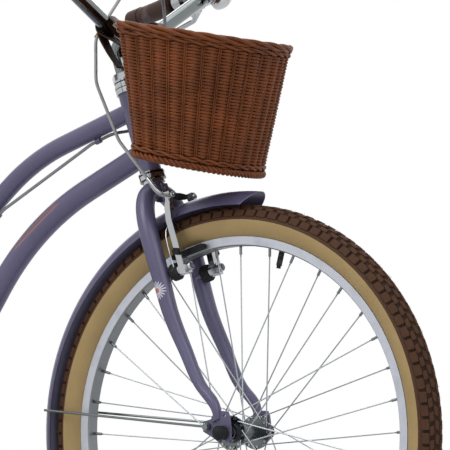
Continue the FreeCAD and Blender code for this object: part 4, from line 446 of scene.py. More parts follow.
def enamel(name, colour):
    """Black stove enamel with a soft shine and chipped specks."""
    made = Finish(name, 0.36, 0.0, 0.4, 0.2)
    peel = made.noise(500, 2.0)
    chip = made.noise(120, 5.0).ramp(0.72, 0.76)
    base = made.mix(peel.ramp(0.3, 0.7), lighter(colour, -0.2), lighter(colour, 0.03))
    colour = made.mix(chip * 0.6, base, tone("#5c5a58"))
    rough = 0.30 + peel * 0.12 + chip * 0.2
    return made.done(colour, rough, peel - chip * 0.5, 0.00006, 0.4)


def housing(name, colour):
    """Cable housing: smooth plastic with the wound liner faintly showing."""
    made = Finish(name, 0.30, 0.0, 0.2, 0.2)
    film = made.noise(60, 3.0)
    wound = made.noise(700, 1.0, (1, 1, 2.2))
    shade = (film * 0.7 + wound * 0.3).ramp(0.3, 0.7)
    colour = made.mix(shade, lighter(colour, -0.2), colour)
    rough = 0.26 + film * 0.14
    return made.done(colour, rough, wound, 0.00008, 0.5)


def deselect():
    """Leaves edit mode with nothing selected."""
    if bpy.context.object and bpy.context.object.mode != "OBJECT":
        bpy.ops.object.mode_set(mode="OBJECT")
    bpy.ops.object.select_all(action="DESELECT")


def only(piece):
    """Makes one object the selected and active one."""
    deselect()
    piece.select_set(True)
    bpy.context.view_layer.objects.active = piece
    return piece


def linked(name, data):
    """A new object in the scene."""
    made = bpy.data.objects.new(name, data)
    bpy.context.scene.collection.objects.link(made)
    return made


def modified(piece, kind, **settings):
    """Adds a modifier and applies it."""
    only(piece)
    made = piece.modifiers.new(kind.title(), kind)
    for key, value in settings.items():
        setattr(made, key, value)
    bpy.ops.object.modifier_apply(modifier=made.name)
    return piece


def eased(piece, width, segments, angle):
    """Bevels the edges that turn by more than an angle in degrees."""
    return modified(piece, "BEVEL", width=width, segments=segments, limit_method="ANGLE",
                    angle_limit=math.radians(angle))


def pick(piece, kind, test):
    """In edit mode, selects the vertices or faces that a test accepts."""
    bpy.ops.object.mode_set(mode="EDIT")
    bpy.ops.mesh.select_mode(type=kind)
    bpy.ops.mesh.select_all(action="DESELECT")
    bpy.ops.object.mode_set(mode="OBJECT")
    if kind == "VERT":
        for vertex in piece.data.vertices:
            vertex.select = test(vertex.co)
    else:
        for face in piece.data.polygons:
            face.select = test(face)
    bpy.ops.object.mode_set(mode="EDIT")


def settle(piece):
    """Puts a piece's place into its mesh."""
    only(piece)
    bpy.ops.object.transform_apply(location=True, rotation=True, scale=True)
    return piece


def outward(piece):
    """Merges doubles and points the faces outward."""
    only(piece)
    bpy.ops.object.mode_set(mode="EDIT")
    bpy.ops.mesh.select_all(action="SELECT")
    bpy.ops.mesh.remove_doubles(threshold=0.00001)
    bpy.ops.mesh.normals_make_consistent(inside=False)
    bpy.ops.object.mode_set(mode="OBJECT")
    return piece


def fused(name, pieces):
    """Joins several objects into one."""
    deselect()
    for piece in pieces:
        piece.select_set(True)
    bpy.context.view_layer.objects.active = pieces[0]
    if len(pieces) > 1:
        bpy.ops.object.join()
    made = bpy.context.view_layer.objects.active
    made.name = name
    made.data.name = name
    return made


def finished(piece, name, material, body, angle=40):
    """Names, smooths and dresses a piece and lets it ride on a body."""
    only(piece)
    piece.name = name
    piece.data.name = name
    piece.data.materials.clear()
    piece.data.materials.append(material)
    bpy.ops.object.shade_smooth_by_angle(angle=math.radians(angle))
    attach(piece, body)
    return piece


def route_curve(name, paths, steps, closed=False, swell=None):
    """A curve with one smooth spline along each path, thicker where swell is above 1."""
    data = bpy.data.curves.new(name, "CURVE")
    data.dimensions = "3D"
    data.resolution_u = steps
    for path in paths:
        spline = data.splines.new("NURBS")
        spline.points.add(len(path) - 1)
        for point, spot, share in zip(spline.points, path, swell or [1.0] * len(path)):
            point.co = (*spot, 1.0)
            point.radius = share
        spline.use_cyclic_u = closed
        spline.order_u = 3
        spline.use_endpoint_u = not closed
    return data


def strand_curve(name, paths, radius, sides=2, closed=True, swell=None):
    """Round rods along smooth paths, as one mesh."""
    data = route_curve(name, paths, 2, closed, swell)
    data.bevel_depth = radius
    data.bevel_resolution = sides
    data.use_fill_caps = not closed
    only(linked(name, data))
    bpy.ops.object.convert(target="MESH")
    return bpy.context.object


def smooth_path(points, steps):
    """Points read off the smooth curve that a few control points draw."""
    holder = bpy.data.objects.new("route", route_curve("route", [points], steps))
    line = bpy.data.meshes.new_from_object(holder)
    spots = [vertex.co.copy() for vertex in line.vertices]
    bpy.data.objects.remove(holder)
    return spots


class CRUISER_OT_tyres(bpy.types.Operator):
    """Tan-walled tyres with rows of brown tread blocks and moulding hairs"""

    bl_idname = "cruiser.tyres"
    bl_label = "Tyres"

    shoulder_angle = math.radians(71)
    seam_angle = math.radians(83.5)
    turns = 144
    section_points = 48
    hair_length = 0.0032
    hair_count = 420
    hair_spread = 1.0
    hair_lean = 0.5
    block_taper = (0.93, 0.92, 1)
    block_bevel = 0.0006
    # each row: angle from the crown, length and width of a block, its slant, and its shift in pitches
    rows = (
        (math.radians(58), 0.0160, 0.0118, 0.0, 0.0),
        (math.radians(34.5), 0.0136, 0.0072, 0.0020, 0.5),
        (math.radians(13), 0.0140, 0.0074, -0.0020, 0.0),
    )

    def execute(self, context):
        tyre = context.scene.cruiser_tyre
        rubber = tread_rubber("brown tread rubber")
        for word, centre in (("front", FRONT_AXLE), ("rear", REAR_AXLE)):
            low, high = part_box(word + "_tyre")
            outside = (high.z - low.z) / 2
            section = (high.y - low.y) / 2
            middle = outside - section
            seam = middle + section * math.cos(self.seam_angle)
            # groove is the radius from which the casing is painted dark, as shade under the tread
            groove = middle + section * math.cos(self.shoulder_angle)
            casing = self.casing(centre, middle, section, tyre.tread_depth)
            wall = casing_rubber(word + " tyre wall", centre, seam, groove)
            finished(casing, word + "_tyre_casing", wall, word + "_wheel", 60)
            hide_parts(word + "_tyre")
            blocks = self.blocks(centre, middle, section, tyre)
            finished(blocks, word + "_tyre_tread", rubber, word + "_wheel", 30)
            hairs = self.hairs(centre, middle, section)
            finished(hairs, word + "_tyre_hairs", rubber, word + "_wheel")
        return {"FINISHED"}

    def casing(self, centre, middle, section, depth):
        """A circle in the wheel's section, drawn in under the tread and spun round the axle."""
        deselect()
        bpy.ops.mesh.primitive_circle_add(vertices=self.section_points, radius=section,
                                          location=centre + UP * middle, rotation=(0, math.pi / 2, 0))
        piece = settle(bpy.context.object)
        heart = centre + UP * middle
        edge = section * math.cos(self.shoulder_angle)
        pick(piece, "VERT", lambda spot: spot.z - heart.z > edge)
        share = 1 - depth / section
        bpy.ops.transform.resize(value=(share, share, share), center_override=heart)
        bpy.ops.mesh.select_all(action="SELECT")
        bpy.ops.mesh.spin(steps=self.turns, angle=2 * math.pi, center=centre, axis=ACROSS)
        bpy.ops.object.mode_set(mode="OBJECT")
        return outward(piece)

    def block(self, angle, length, width, slant, shift, middle, section, tyre):
        """One tapered block, placed on the section at an angle from the crown."""
        height = tyre.tread_depth * 2
        deselect()
        bpy.ops.mesh.primitive_cube_add(size=1)
        piece = bpy.context.object
        piece.scale = (length, width, height)
        settle(piece)
        pick(piece, "VERT", lambda spot: spot.z > 0)
        bpy.ops.transform.resize(value=self.block_taper)
        pick(piece, "VERT", lambda spot: spot.y > 0)
        bpy.ops.transform.translate(value=(slant, 0, 0))
        bpy.ops.mesh.select_all(action="SELECT")
        bpy.ops.mesh.bevel(offset=self.block_bevel, segments=1)
        bpy.ops.object.mode_set(mode="OBJECT")
        top = section - height / 2
        pitch = 2 * math.pi / tyre.pitches
        piece.matrix_world = (Matrix.Rotation(shift * pitch, 4, "Y")
                              @ Matrix.Translation((0, top * math.sin(angle), middle + top * math.cos(angle)))
                              @ Matrix.Rotation(-angle, 4, "X"))
        return settle(piece)

    def blocks(self, centre, middle, section, tyre):
        """One pitch of the pattern on both sides, repeated round the wheel."""
        group = []
        for angle, length, width, slant, shift in self.rows:
            for side in (1, -1):
                group.append(self.block(side * angle, length, width, slant * side, shift + (side < 0) * 0.5,
                                        middle, section, tyre))
        piece = fused("tread", group)
        turn = linked("tread turn", None)
        turn.rotation_euler = (0, 2 * math.pi / tyre.pitches, 0)
        bpy.context.view_layer.update()
        modified(piece, "ARRAY", count=tyre.pitches, use_relative_offset=False, use_object_offset=True,
                 offset_object=turn)
        bpy.data.objects.remove(turn)
        piece.location = centre
        return settle(piece)

    def hairs(self, centre, middle, section):
        """Thin moulding hairs scattered over the tread."""
        draw = random.Random(5)
        group = []
        for _ in range(self.hair_count):
            angle = draw.uniform(-self.hair_spread, self.hair_spread)
            round_turn = draw.uniform(0, 2 * math.pi)
            lean = draw.uniform(-self.hair_lean, self.hair_lean)
            length = self.hair_length * draw.uniform(0.6, 1.0)
            root = (0, section * math.sin(angle), middle + section * math.cos(angle))
            group.append((Matrix.Translation(centre) @ Matrix.Rotation(round_turn, 4, "Y")
                          @ Matrix.Translation(root) @ Matrix.Rotation(-angle, 4, "X")
                          @ Matrix.Rotation(lean, 4, "Y"), length))
        return copies("hairs", hair_shape, group)


def hair_shape():
    """A three-sided thorn one metre high, as a unit for copies."""
    deselect()
    bpy.ops.mesh.primitive_cone_add(vertices=3, radius1=0.11, radius2=0.03, depth=1, location=(0, 0, 0.4))
    return settle(bpy.context.object)


def copies(name, maker, places):
    """Copies one modelled shape to many places and sizes, joined in one mesh."""
    pattern = maker()
    made = []
    for place, size in places:
        twin = linked(name, pattern.data.copy())
        twin.data.transform(place @ Matrix.Scale(size, 4))
        made.append(twin)
    bpy.data.objects.remove(pattern)
    return fused(name, made)


def belt(points):
    """Running length at each point of a closed path, and the whole length."""
    lengths = [0.0]
    for a, b in zip(points, points[1:] + points[:1]):
        lengths.append(lengths[-1] + (b - a).length)
    return lengths


def along_belt(points, count, start=0.0):
    """Points at even steps along a closed path."""
    lengths = belt(points)
    whole = lengths[-1]
    closed = points + points[:1]
    spots = []
    index = 0
    for i in range(count):
        goal = (i + start) / count * whole
        while lengths[index + 1] < goal:
            index += 1
        share = (goal - lengths[index]) / (lengths[index + 1] - lengths[index])
        spots.append(closed[index].lerp(closed[index + 1], share))
    return spots


class CRUISER_OT_basket(bpy.types.Operator):
    """Wicker basket: paired stakes, weavers in and out of them, rope borders and a woven floor"""

    bl_idname = "cruiser.basket"
    bl_label = "Wicker basket"

    steps_per_stake = 3
    outline_points = 360
    strand = 0.0026
    stake_rod = 0.0013
    stake_inset = 0.0042
    wall_inset = 0.0034
    corner_radius = 0.040
    widest_share = 0.30
    bulge = 0.27
    swing = 0.62
    wobble = 0.00035
    lift = 0.0003
    foot_slope = 0.06
    row_span = (0.112, 0.897)
    floor_sticks = 8
    floor_share = 0.045
    floor_margin = 0.004
    stick_spread = 0.86
    weaver_pitch = 1.06
    # how far the foot's and the rim's ropes stand out of the wall
    foot_grow, rim_grow = 0.003, 0.0035
    # each rope: share of the height, turns round the ring, strands, and how far they rise and reach
    rim_rope = (0.974, 7, 3, 0.0037, 0.0022)
    foot_rope = (0.030, 26, 3, 0.0030, 0.0030)
    upper_wale = (0.928, 15, 2, 0.0022, 0.0016)
    lower_wale = (0.081, 13, 2, 0.0022, 0.0016)

    def execute(self, context):
        self.basket = context.scene.cruiser_basket
        self.place = self.settle_place()
        lying = willow("lying willow", (0.35, 0.35, 5.0))
        standing = willow("standing willow", (4.0, 4.0, 0.35))
        # painted shade: the lining's willow is darkened to stand for the shadow inside the wall behind the weave
        unlit = willow("inner willow", (0.35, 0.35, 5.0), -0.6)
        rod = self.basket.rod / 2
        swell = [1 + self.bulge * math.cos(math.pi * i / self.steps_per_stake)
                 for i in range(self.basket.stakes * self.steps_per_stake)]
        weave = strand_curve("basket_weave", self.weavers(), rod, 1, True, swell)
        finished(weave, "basket_weave", lying, "steering", 60)
        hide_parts("basket")
        wale = self.rope(*self.upper_wale) + self.rope(*self.lower_wale)
        for name, paths, radius, sides, closed, finish in (
                ("basket_lining", self.lining(), rod, 1, True, unlit),
                ("basket_stakes", self.stakes(), self.stake_rod, 1, False, standing),
                ("basket_rim", self.rope(*self.rim_rope), self.strand * 1.15, 2, True, lying),
                ("basket_foot", self.rope(*self.foot_rope), self.strand, 2, True, lying),
                ("basket_wale", wale, self.strand * 0.85, 1, True, lying),
                ("basket_floor", self.floor(), rod, 1, False, lying)):
            finished(strand_curve(name, paths, radius, sides, closed), name, finish, "steering", 60)
        return {"FINISHED"}

    def ring(self, share, grow=0.0):
        """The wall's outline at a share of the height, flat at the back and round at the front."""
        tub = self.basket
        width = tub.foot_width + (tub.width - tub.foot_width) * share
        depth = tub.foot_depth + (tub.depth - tub.foot_depth) * share
        half = width / 2 + grow
        back = -depth / 2 - grow
        front = depth / 2 + grow
        corner = self.corner_radius * width / tub.width
        widest = back + depth * self.widest_share
        shift = tub.lean * share
        # the flat back, a rounded corner, a straight side, the round front, and the first side mirrored
        points = [(back, i * (half - corner) / 8) for i in range(8, -9, -1)]
        points += [(back + corner * (1 - math.cos(turn)), -half + corner * (1 - math.sin(turn)))
                   for turn in (math.radians(a) for a in (15, 30, 45, 60, 75))]
        start = back + corner
        points += [(start + (widest - start) * i / 4, -half) for i in range(4)]
        points += [(widest + (front - widest) * math.sin(turn), -half * math.cos(turn))
                   for turn in (math.pi * i / 40 for i in range(41))]
        points += [(x, -y) for x, y in reversed(points[17:26])]
        slope = self.foot_slope * (1 - share)
        return [Vector((x + shift, y, tub.height * share - slope * x)) for x, y in points]

    def settle_place(self):
        """Turns the tub by its tilt and sets it in its solid's box."""
        turn = Matrix.Rotation(self.basket.tilt, 4, "Y")
        outer = [turn @ spot for share, grow in ((0, self.foot_grow), (1, self.rim_grow))
                 for spot in self.ring(share, grow)]
        low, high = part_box("basket")
        middle = Vector([(min(axis) + max(axis)) / 2 for axis in zip(*outer)])
        return Matrix.Translation((low + high) / 2 - middle) @ turn

    def outward_way(self, spots, index):
        """The direction out of the wall at a point of a ring."""
        ahead = spots[(index + 1) % len(spots)] - spots[index - 1]
        return Vector((ahead.y, -ahead.x, 0)).normalized()

    def weavers(self):
        """Closed rows that pass in front of one pair of stakes and behind the next."""
        tub = self.basket
        count = tub.stakes * self.steps_per_stake
        swing = tub.rod * self.swing
        draw = random.Random(11)
        paths = []
        for row in range(tub.rows):
            share = self.level(row)
            spots = along_belt(self.ring(share, -self.wall_inset), count)
            path = []
            for i, spot in enumerate(spots):
                wave = math.cos(math.pi * i / self.steps_per_stake)
                wobble = draw.uniform(-self.wobble, self.wobble)
                lift = draw.uniform(-self.lift, self.lift)
                out = self.outward_way(spots, i)
                path.append(self.place @ (spot + out * (swing * wave + wobble) + UP * lift))
            paths.append(path)
        return paths

    def level(self, row):
        """A weaver row's share of the height."""
        low, high = self.row_span
        return low + (high - low) * row / (self.basket.rows - 1)

    def lining(self):
        """Plain rows inside the wall that close the gaps between the weavers; dressed in darkened willow, they are
        painted shade seen through the gaps.
        """
        levels = [self.level(row + 0.5) for row in range(-4, self.basket.rows + 3)]
        rings = [self.ring(level, -self.wall_inset - self.basket.rod) for level in levels]
        return [[self.place @ spot for spot in along_belt(ring, self.basket.stakes)] for ring in rings]

    def stakes(self):
        """Pairs of upright rods, a stake's width apart, from foot to rim."""
        tub = self.basket
        paths = []
        levels = [0.97 * (i / 8) + 0.01 for i in range(9)]
        rings = [along_belt(self.ring(level, -self.stake_inset), tub.stakes) for level in levels]
        for i in range(tub.stakes):
            for side in (-1, 1):
                path = []
                for spots in rings:
                    aside = (spots[(i + 1) % tub.stakes] - spots[i - 1]).normalized()
                    path.append(self.place @ (spots[i] + aside * side * self.stake_rod * 1.05))
                paths.append(path)
        return paths

    def rope(self, share, turns, strands, rise, reach):
        """Strands laid round each other along a ring, falling to the right as seen from outside."""
        spots = along_belt(self.ring(share, 0.0), self.outline_points)
        paths = []
        for strand in range(strands):
            path = []
            for i, spot in enumerate(spots):
                angle = -2 * math.pi * (turns * i / len(spots) + strand / strands)
                out = self.outward_way(spots, i)
                path.append(self.place @ (spot + out * math.cos(angle) * reach + UP * math.sin(angle) * rise))
            paths.append(path)
        return paths

    def floor(self):
        """Sticks from back to front with weavers across them."""
        tub = self.basket
        level = tub.height * self.floor_share
        half = tub.foot_width / 2 - self.floor_margin
        back = -tub.foot_depth / 2 + self.floor_margin
        reach = tub.foot_depth - 2 * self.floor_margin
        ring = self.ring(0.04, -0.003)
        paths = []
        for i in range(self.floor_sticks):
            y = half * self.stick_spread * (2 * i / (self.floor_sticks - 1) - 1)
            beside = [spot.x for spot in ring if abs(spot.y - y) < 0.012]
            front, rear = max(beside), min(beside)
            run = [rear + (front - rear) * k / 6 for k in range(7)]
            paths.append([self.place @ Vector((x, y, level - self.foot_slope * x)) for x in run])
        rows = int(reach / (tub.rod * self.weaver_pitch))
        for row in range(rows):
            x = back + reach * (row + 0.5) / rows
            span = max((spot.y for spot in ring if abs(spot.x - x) < 0.006), default=half)
            path = []
            count = 4 * self.floor_sticks
            for k in range(count + 1):
                y = span * (2 * k / count - 1)
                phase = (y / (half * self.stick_spread) + 1) / 2 * (self.floor_sticks - 1)
                wave = math.cos(math.pi * (phase + row))
                path.append(self.place @ Vector((x, y, level - self.foot_slope * x + wave * tub.rod * 0.5)))
            paths.append(path)
        return paths


def ribbon(name, path, width, thick, taper=1.0):
    """A flat strap along a path, its width lying across the bicycle, with eased edges."""
    deselect()
    bpy.ops.mesh.primitive_grid_add(x_subdivisions=len(path) - 1, y_subdivisions=1, size=1)
    piece = bpy.context.object
    columns = len(path)
    for i, vertex in enumerate(piece.data.vertices):
        side = -0.5 if i < columns else 0.5
        narrow = 1 + (taper - 1) * (i % columns) / (columns - 1)
        vertex.co = path[i % columns] + ACROSS * side * width * narrow
    piece.name = name
    return strap_wall(piece, thick)


def strap_wall(piece, thick):
    """Gives a flat strap its thickness and eased edges."""
    modified(piece, "SOLIDIFY", thickness=thick, offset=0.0)
    eased(piece, thick * 0.28, 2, 50)
    return outward(piece)


def stitch_shape():
    """One short thread stitch, a metre long along X, as a unit for copies."""
    deselect()
    bpy.ops.mesh.primitive_cylinder_add(vertices=6, radius=0.16, depth=1, rotation=(0, math.pi / 2, 0))
    piece = settle(bpy.context.object)
    pick(piece, "VERT", lambda spot: abs(spot.x) > 0.4)
    bpy.ops.transform.resize(value=(1.0, 0.45, 0.45))
    bpy.ops.transform.translate(value=(0, 0, -0.10))
    bpy.ops.object.mode_set(mode="OBJECT")
    return piece


def stitches(path, step, way, lift, length):
    """Places of stitches along a path, lifted off the surface it lies on."""
    places = []
    travelled = 0.0
    for a, b in zip(path, path[1:]):
        run = b - a
        while travelled < run.length:
            ahead = run.normalized()
            out = ahead.cross(way).normalized()
            spot = a + ahead * travelled + out * lift
            turn = Matrix((ahead, way, out)).transposed().to_4x4()
            places.append((Matrix.Translation(spot) @ turn, length))
            travelled += step
        travelled -= run.length
    return places


class CRUISER_OT_straps(bpy.types.Operator):
    """Leather straps that hang the basket on the bar, with long tails, brass pins and stitching"""

    bl_idname = "cruiser.straps"
    bl_label = "Basket straps"

    across = 0.062
    width = 0.020
    tail_width = 0.024
    tail_taper = 0.62
    thick = 0.0025
    bar_ring = 0.01455
    wall_ring = 0.00725
    bar_spot = Vector((0.35181, 0, 0.93438))
    wall_spot = Vector((0.40871, 0, 0.89750))
    tail_route = (Vector((0.3420, 0, 0.9225)), Vector((0.3440, 0, 0.9156)), Vector((0.3531, 0, 0.8995)),
                  Vector((0.3603, 0, 0.8879)), Vector((0.3745, 0, 0.8700)))
    pin_ends = (Vector((0.3345, 0, 0.9180)), Vector((0.3375, 0, 0.9213)), Vector((0.3405, 0, 0.9245)))
    pin_radius = 0.0011
    pin_aside = 0.009
    seam_share = 0.40
    stitch_step = 0.0042
    stitch_length = 0.0028

    def execute(self, context):
        leather = hide("strap leather", lighter(chosen("leather"), -0.35), 900, 0.25)
        brass = plated("strap brass", tone("#b8935a"), 0.24)
        thread = moulded("waxed thread", tone("#4a3022"), 0.7)
        loops, sewing, metal = [], [], []
        for side in (1, -1):
            aside = ACROSS * side * self.across
            loops.append(self.loop(aside))
            tail = [spot + aside for spot in smooth_path(self.tail_route, 8)]
            loops.append(ribbon("tail", tail, self.tail_width, self.thick, self.tail_taper))
            for edge in (1, -1):
                seam = ACROSS * edge * self.tail_width * self.seam_share
                line = [spot + seam * (1 + (self.tail_taper - 1) * i / len(tail))
                        for i, spot in enumerate(tail)]
                for face in (1, -1):
                    lift = face * self.thick / 2
                    sewing += stitches(line, self.stitch_step, ACROSS, lift, self.stitch_length)
            pin = [spot + aside + ACROSS * side * self.pin_aside for spot in self.pin_ends]
            metal.append(strand_curve("pin", [pin], self.pin_radius, 2, False))
        strap = fused("straps", loops)
        finished(strap, "basket_strap_leather", leather, "steering", 45)
        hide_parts("basket_straps")
        sewn = copies("sewing", stitch_shape, sewing)
        finished(sewn, "basket_strap_stitches", thread, "steering")
        finished(fused("pins", metal), "basket_strap_pins", brass, "steering")
        return {"FINISHED"}

    def loop(self, aside):
        """A band round the bar and through the basket's back."""
        deselect()
        bpy.ops.mesh.primitive_circle_add(vertices=48, radius=self.bar_ring, location=self.bar_spot + aside,
                                          rotation=(math.pi / 2, 0, 0))
        piece = settle(bpy.context.object)
        heading = (self.wall_spot - self.bar_spot).normalized()
        centre = self.bar_spot + aside
        pick(piece, "VERT", lambda spot: (spot - centre).dot(heading) > 0.0001)
        share = self.wall_ring / self.bar_ring
        bpy.ops.transform.resize(value=(share, share, share), center_override=centre)
        bpy.ops.transform.translate(value=self.wall_spot - self.bar_spot)
        bpy.ops.mesh.select_all(action="SELECT")
        bpy.ops.transform.translate(value=-ACROSS * self.width / 2)
        bpy.ops.mesh.extrude_edges_move(TRANSFORM_OT_translate={"value": ACROSS * self.width})
        bpy.ops.object.mode_set(mode="OBJECT")
        return strap_wall(outward(piece), self.thick)


class CRUISER_OT_saddle(bpy.types.Operator):
    """Padded saddle: swollen leather cover, piped edge, centre seam, stitches and rivets"""

    bl_idname = "cruiser.saddle"
    bl_label = "Saddle"

    voxel = 0.005
    shrink = 0.975
    pressure = 4.0
    frames = 20
    swell = 0.006
    foot_band = 0.004
    ray_start = 0.4
    piping = 0.0023
    piping_share = 0.30
    piping_turns = 72
    stitch_step = 0.0050
    stitch_lift = 0.0003
    stitch_length = 0.0034
    seam_points = 60
    rivet_turns = (158, 172, 188, 202)
    rivet_radius = 0.0046
    rivet_rise = 0.020

    def execute(self, context):
        leather = hide("saddle leather", chosen("saddle"), 700, 0.5)
        dark = hide("saddle piping", lighter(chosen("saddle"), -0.35), 900, 0.3)
        thread = moulded("saddle thread", tone("#b99a6a"), 0.7)
        chrome = plated("rivet chrome", tone("#cfd2d6"), 0.14)
        cover = self.cover()
        finished(cover, "saddle_cover", leather, "seat", 60)
        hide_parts("saddle_pad")
        piping = strand_curve("saddle_piping", [self.edge_line(cover)], self.piping, 2)
        finished(piping, "saddle_piping", dark, "seat", 60)
        sewing = []
        for line in self.seam_lines(cover):
            sewing += stitches(line, self.stitch_step, ACROSS, self.stitch_lift, self.stitch_length)
        finished(copies("sewing", stitch_shape, sewing), "saddle_stitches", thread, "seat")
        rivets = copies("rivets", rivet_shape, self.rivet_places(cover))
        finished(rivets, "saddle_rivets", chrome, "seat", 50)
        return {"FINISHED"}

    def cover(self):
        """A copy of the solid, remeshed, blown up a little as cloth and smoothed."""
        piece = outward(linked("saddle_cover", NODES["saddle_pad"].data.copy()))
        low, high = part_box("saddle_pad")
        heart = (low + high) / 2
        pick(piece, "VERT", lambda spot: True)
        bpy.ops.transform.resize(value=(self.shrink, self.shrink, self.shrink),
                                 center_override=(heart.x, heart.y, low.z))
        bpy.ops.object.mode_set(mode="OBJECT")
        modified(piece, "REMESH", mode="VOXEL", voxel_size=self.voxel)
        start = [vertex.co.copy() for vertex in piece.data.vertices]
        self.blow_up(piece, start, low.z)
        modified(piece, "SMOOTH", factor=0.5, iterations=6)
        modified(piece, "SUBSURF", levels=1, render_levels=1)
        return piece

    def blow_up(self, piece, start, floor):
        """Runs the cloth under pressure and keeps each point near where it began."""
        only(piece)
        cloth = piece.modifiers.new("Cloth", "CLOTH")
        cloth.settings.use_pressure = True
        cloth.settings.uniform_pressure_force = self.pressure
        cloth.settings.effector_weights.gravity = 0
        cloth.point_cache.frame_end = self.frames
        scene = bpy.context.scene
        for number in range(1, self.frames + 1):
            scene.frame_set(number)
        bpy.ops.object.modifier_apply(modifier=cloth.name)
        scene.frame_set(1)
        for vertex, spot in zip(piece.data.vertices, start):
            move = vertex.co - spot
            if move.length > self.swell:
                move = move.normalized() * self.swell
            vertex.co = spot + move
            if spot.z < floor + self.foot_band:
                vertex.co.z = max(spot.z, floor)

    def edge_line(self, cover):
        """The cover's widest outline, a little above its foot."""
        low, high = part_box("saddle_pad")
        heart = (low + high) / 2
        level = low.z + (high.z - low.z) * self.piping_share
        spots = {}
        for vertex in cover.data.vertices:
            if abs(vertex.co.z - level) < self.foot_band:
                angle = math.atan2(vertex.co.y, vertex.co.x - heart.x)
                turn = round(angle / (2 * math.pi) * self.piping_turns) % self.piping_turns
                reach = (vertex.co - heart).to_2d().length
                if turn not in spots or reach > spots[turn][0]:
                    spots[turn] = (reach, Vector((vertex.co.x, vertex.co.y, level)))
        return [spots[turn][1] for turn in sorted(spots)]

    def drop(self, cover, x, y):
        """The point of the cover straight below a place above it."""
        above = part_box("saddle_pad")[1].z + self.ray_start
        hit, spot, _, _ = cover.ray_cast(Vector((x, y, above)), -UP)
        return spot if hit else None

    def seam_lines(self, cover):
        """Two rows of stitches along the top that spread toward the back."""
        low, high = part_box("saddle_pad")
        length = high.x - low.x
        lines = []
        for side in (1, -1):
            line = []
            for i in range(self.seam_points):
                share = i / (self.seam_points - 1)
                x = low.x + length * (0.10 + 0.84 * share)
                y = side * (0.012 + 0.050 * max(0.0, 1 - share * 1.7) ** 1.5)
                spot = self.drop(cover, x, y)
                if spot:
                    line.append(spot)
            lines.append(line)
        return lines

    def rivet_places(self, cover):
        """Four rivets round the back."""
        low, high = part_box("saddle_pad")
        heart = (low + high) / 2
        places = []
        for turn in self.rivet_turns:
            way = Vector((math.cos(math.radians(turn)), math.sin(math.radians(turn)), 0))
            start = heart + way * self.ray_start
            start.z = low.z + self.rivet_rise
            hit, spot, normal, _ = cover.ray_cast(start, -way)
            if hit:
                facing = normal.to_track_quat("Z", "Y").to_matrix().to_4x4()
                places.append((Matrix.Translation(spot) @ facing, self.rivet_radius))
        return places


def rivet_shape():
    """A low domed rivet of unit radius, as a unit for copies."""
    deselect()
    bpy.ops.mesh.primitive_uv_sphere_add(segments=20, ring_count=10, radius=1)
    piece = bpy.context.object
    piece.scale = (1, 1, 0.42)
    return settle(piece)


class CRUISER_OT_cable_loop(bpy.types.Operator):
    """The rear brake's housing where it swings from the bar to the frame"""

    bl_idname = "cruiser.cable_loop"
    bl_label = "Steering cable loop"

    bar_length = 0.06

    def execute(self, context):
        piece = outward(linked("rear_cable_loop", NODES["steering_cable_loop"].data.copy()))
        piece.data.materials.clear()
        piece.data.materials.append(housing("dark cable housing", chosen("dark_cable")))
        bpy.ops.object.shade_smooth_by_angle(angle=math.radians(50))
        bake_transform(piece)
        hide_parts("steering_cable_loop")
        return {"FINISHED"}


def boot_shape():
    """A ribbed rubber boot along X, one metre long, as a unit for copies."""
    ribs, rib_height, narrowing = 7.5, 0.16, 0.30
    deselect()
    bpy.ops.mesh.primitive_cylinder_add(vertices=24, radius=0.15, depth=1, rotation=(0, math.pi / 2, 0))
    piece = settle(bpy.context.object)
    bpy.ops.object.mode_set(mode="EDIT")
    bpy.ops.mesh.select_all(action="DESELECT")
    bpy.ops.object.mode_set(mode="OBJECT")
    for edge in piece.data.edges:
        a, b = (piece.data.vertices[i].co for i in edge.vertices)
        edge.select = abs(a.x - b.x) > 0.5
    bpy.ops.object.mode_set(mode="EDIT")
    bpy.ops.mesh.select_mode(type="EDGE")
    bpy.ops.mesh.subdivide(number_cuts=15)
    bpy.ops.object.mode_set(mode="OBJECT")
    for vertex in piece.data.vertices:
        rib = 1.0 + rib_height * math.cos(vertex.co.x * 2 * math.pi * ribs)
        slim = 1.0 - narrowing * max(0.0, vertex.co.x)
        vertex.co.y *= rib * slim
        vertex.co.z *= rib * slim
    return piece


def bolt_shape():
    """A hexagon socket bolt of unit head radius, as a unit for copies."""
    deselect()
    bpy.ops.mesh.primitive_cylinder_add(vertices=24, radius=1, depth=1.1)
    piece = bpy.context.object
    pick(piece, "FACE", lambda face: face.normal.z > 0.9)
    bpy.ops.mesh.inset(thickness=0.18)
    bpy.ops.mesh.inset(thickness=0.22)
    bpy.ops.transform.translate(value=(0, 0, -0.45))
    bpy.ops.object.mode_set(mode="OBJECT")
    return eased(piece, 0.10, 2, 40)


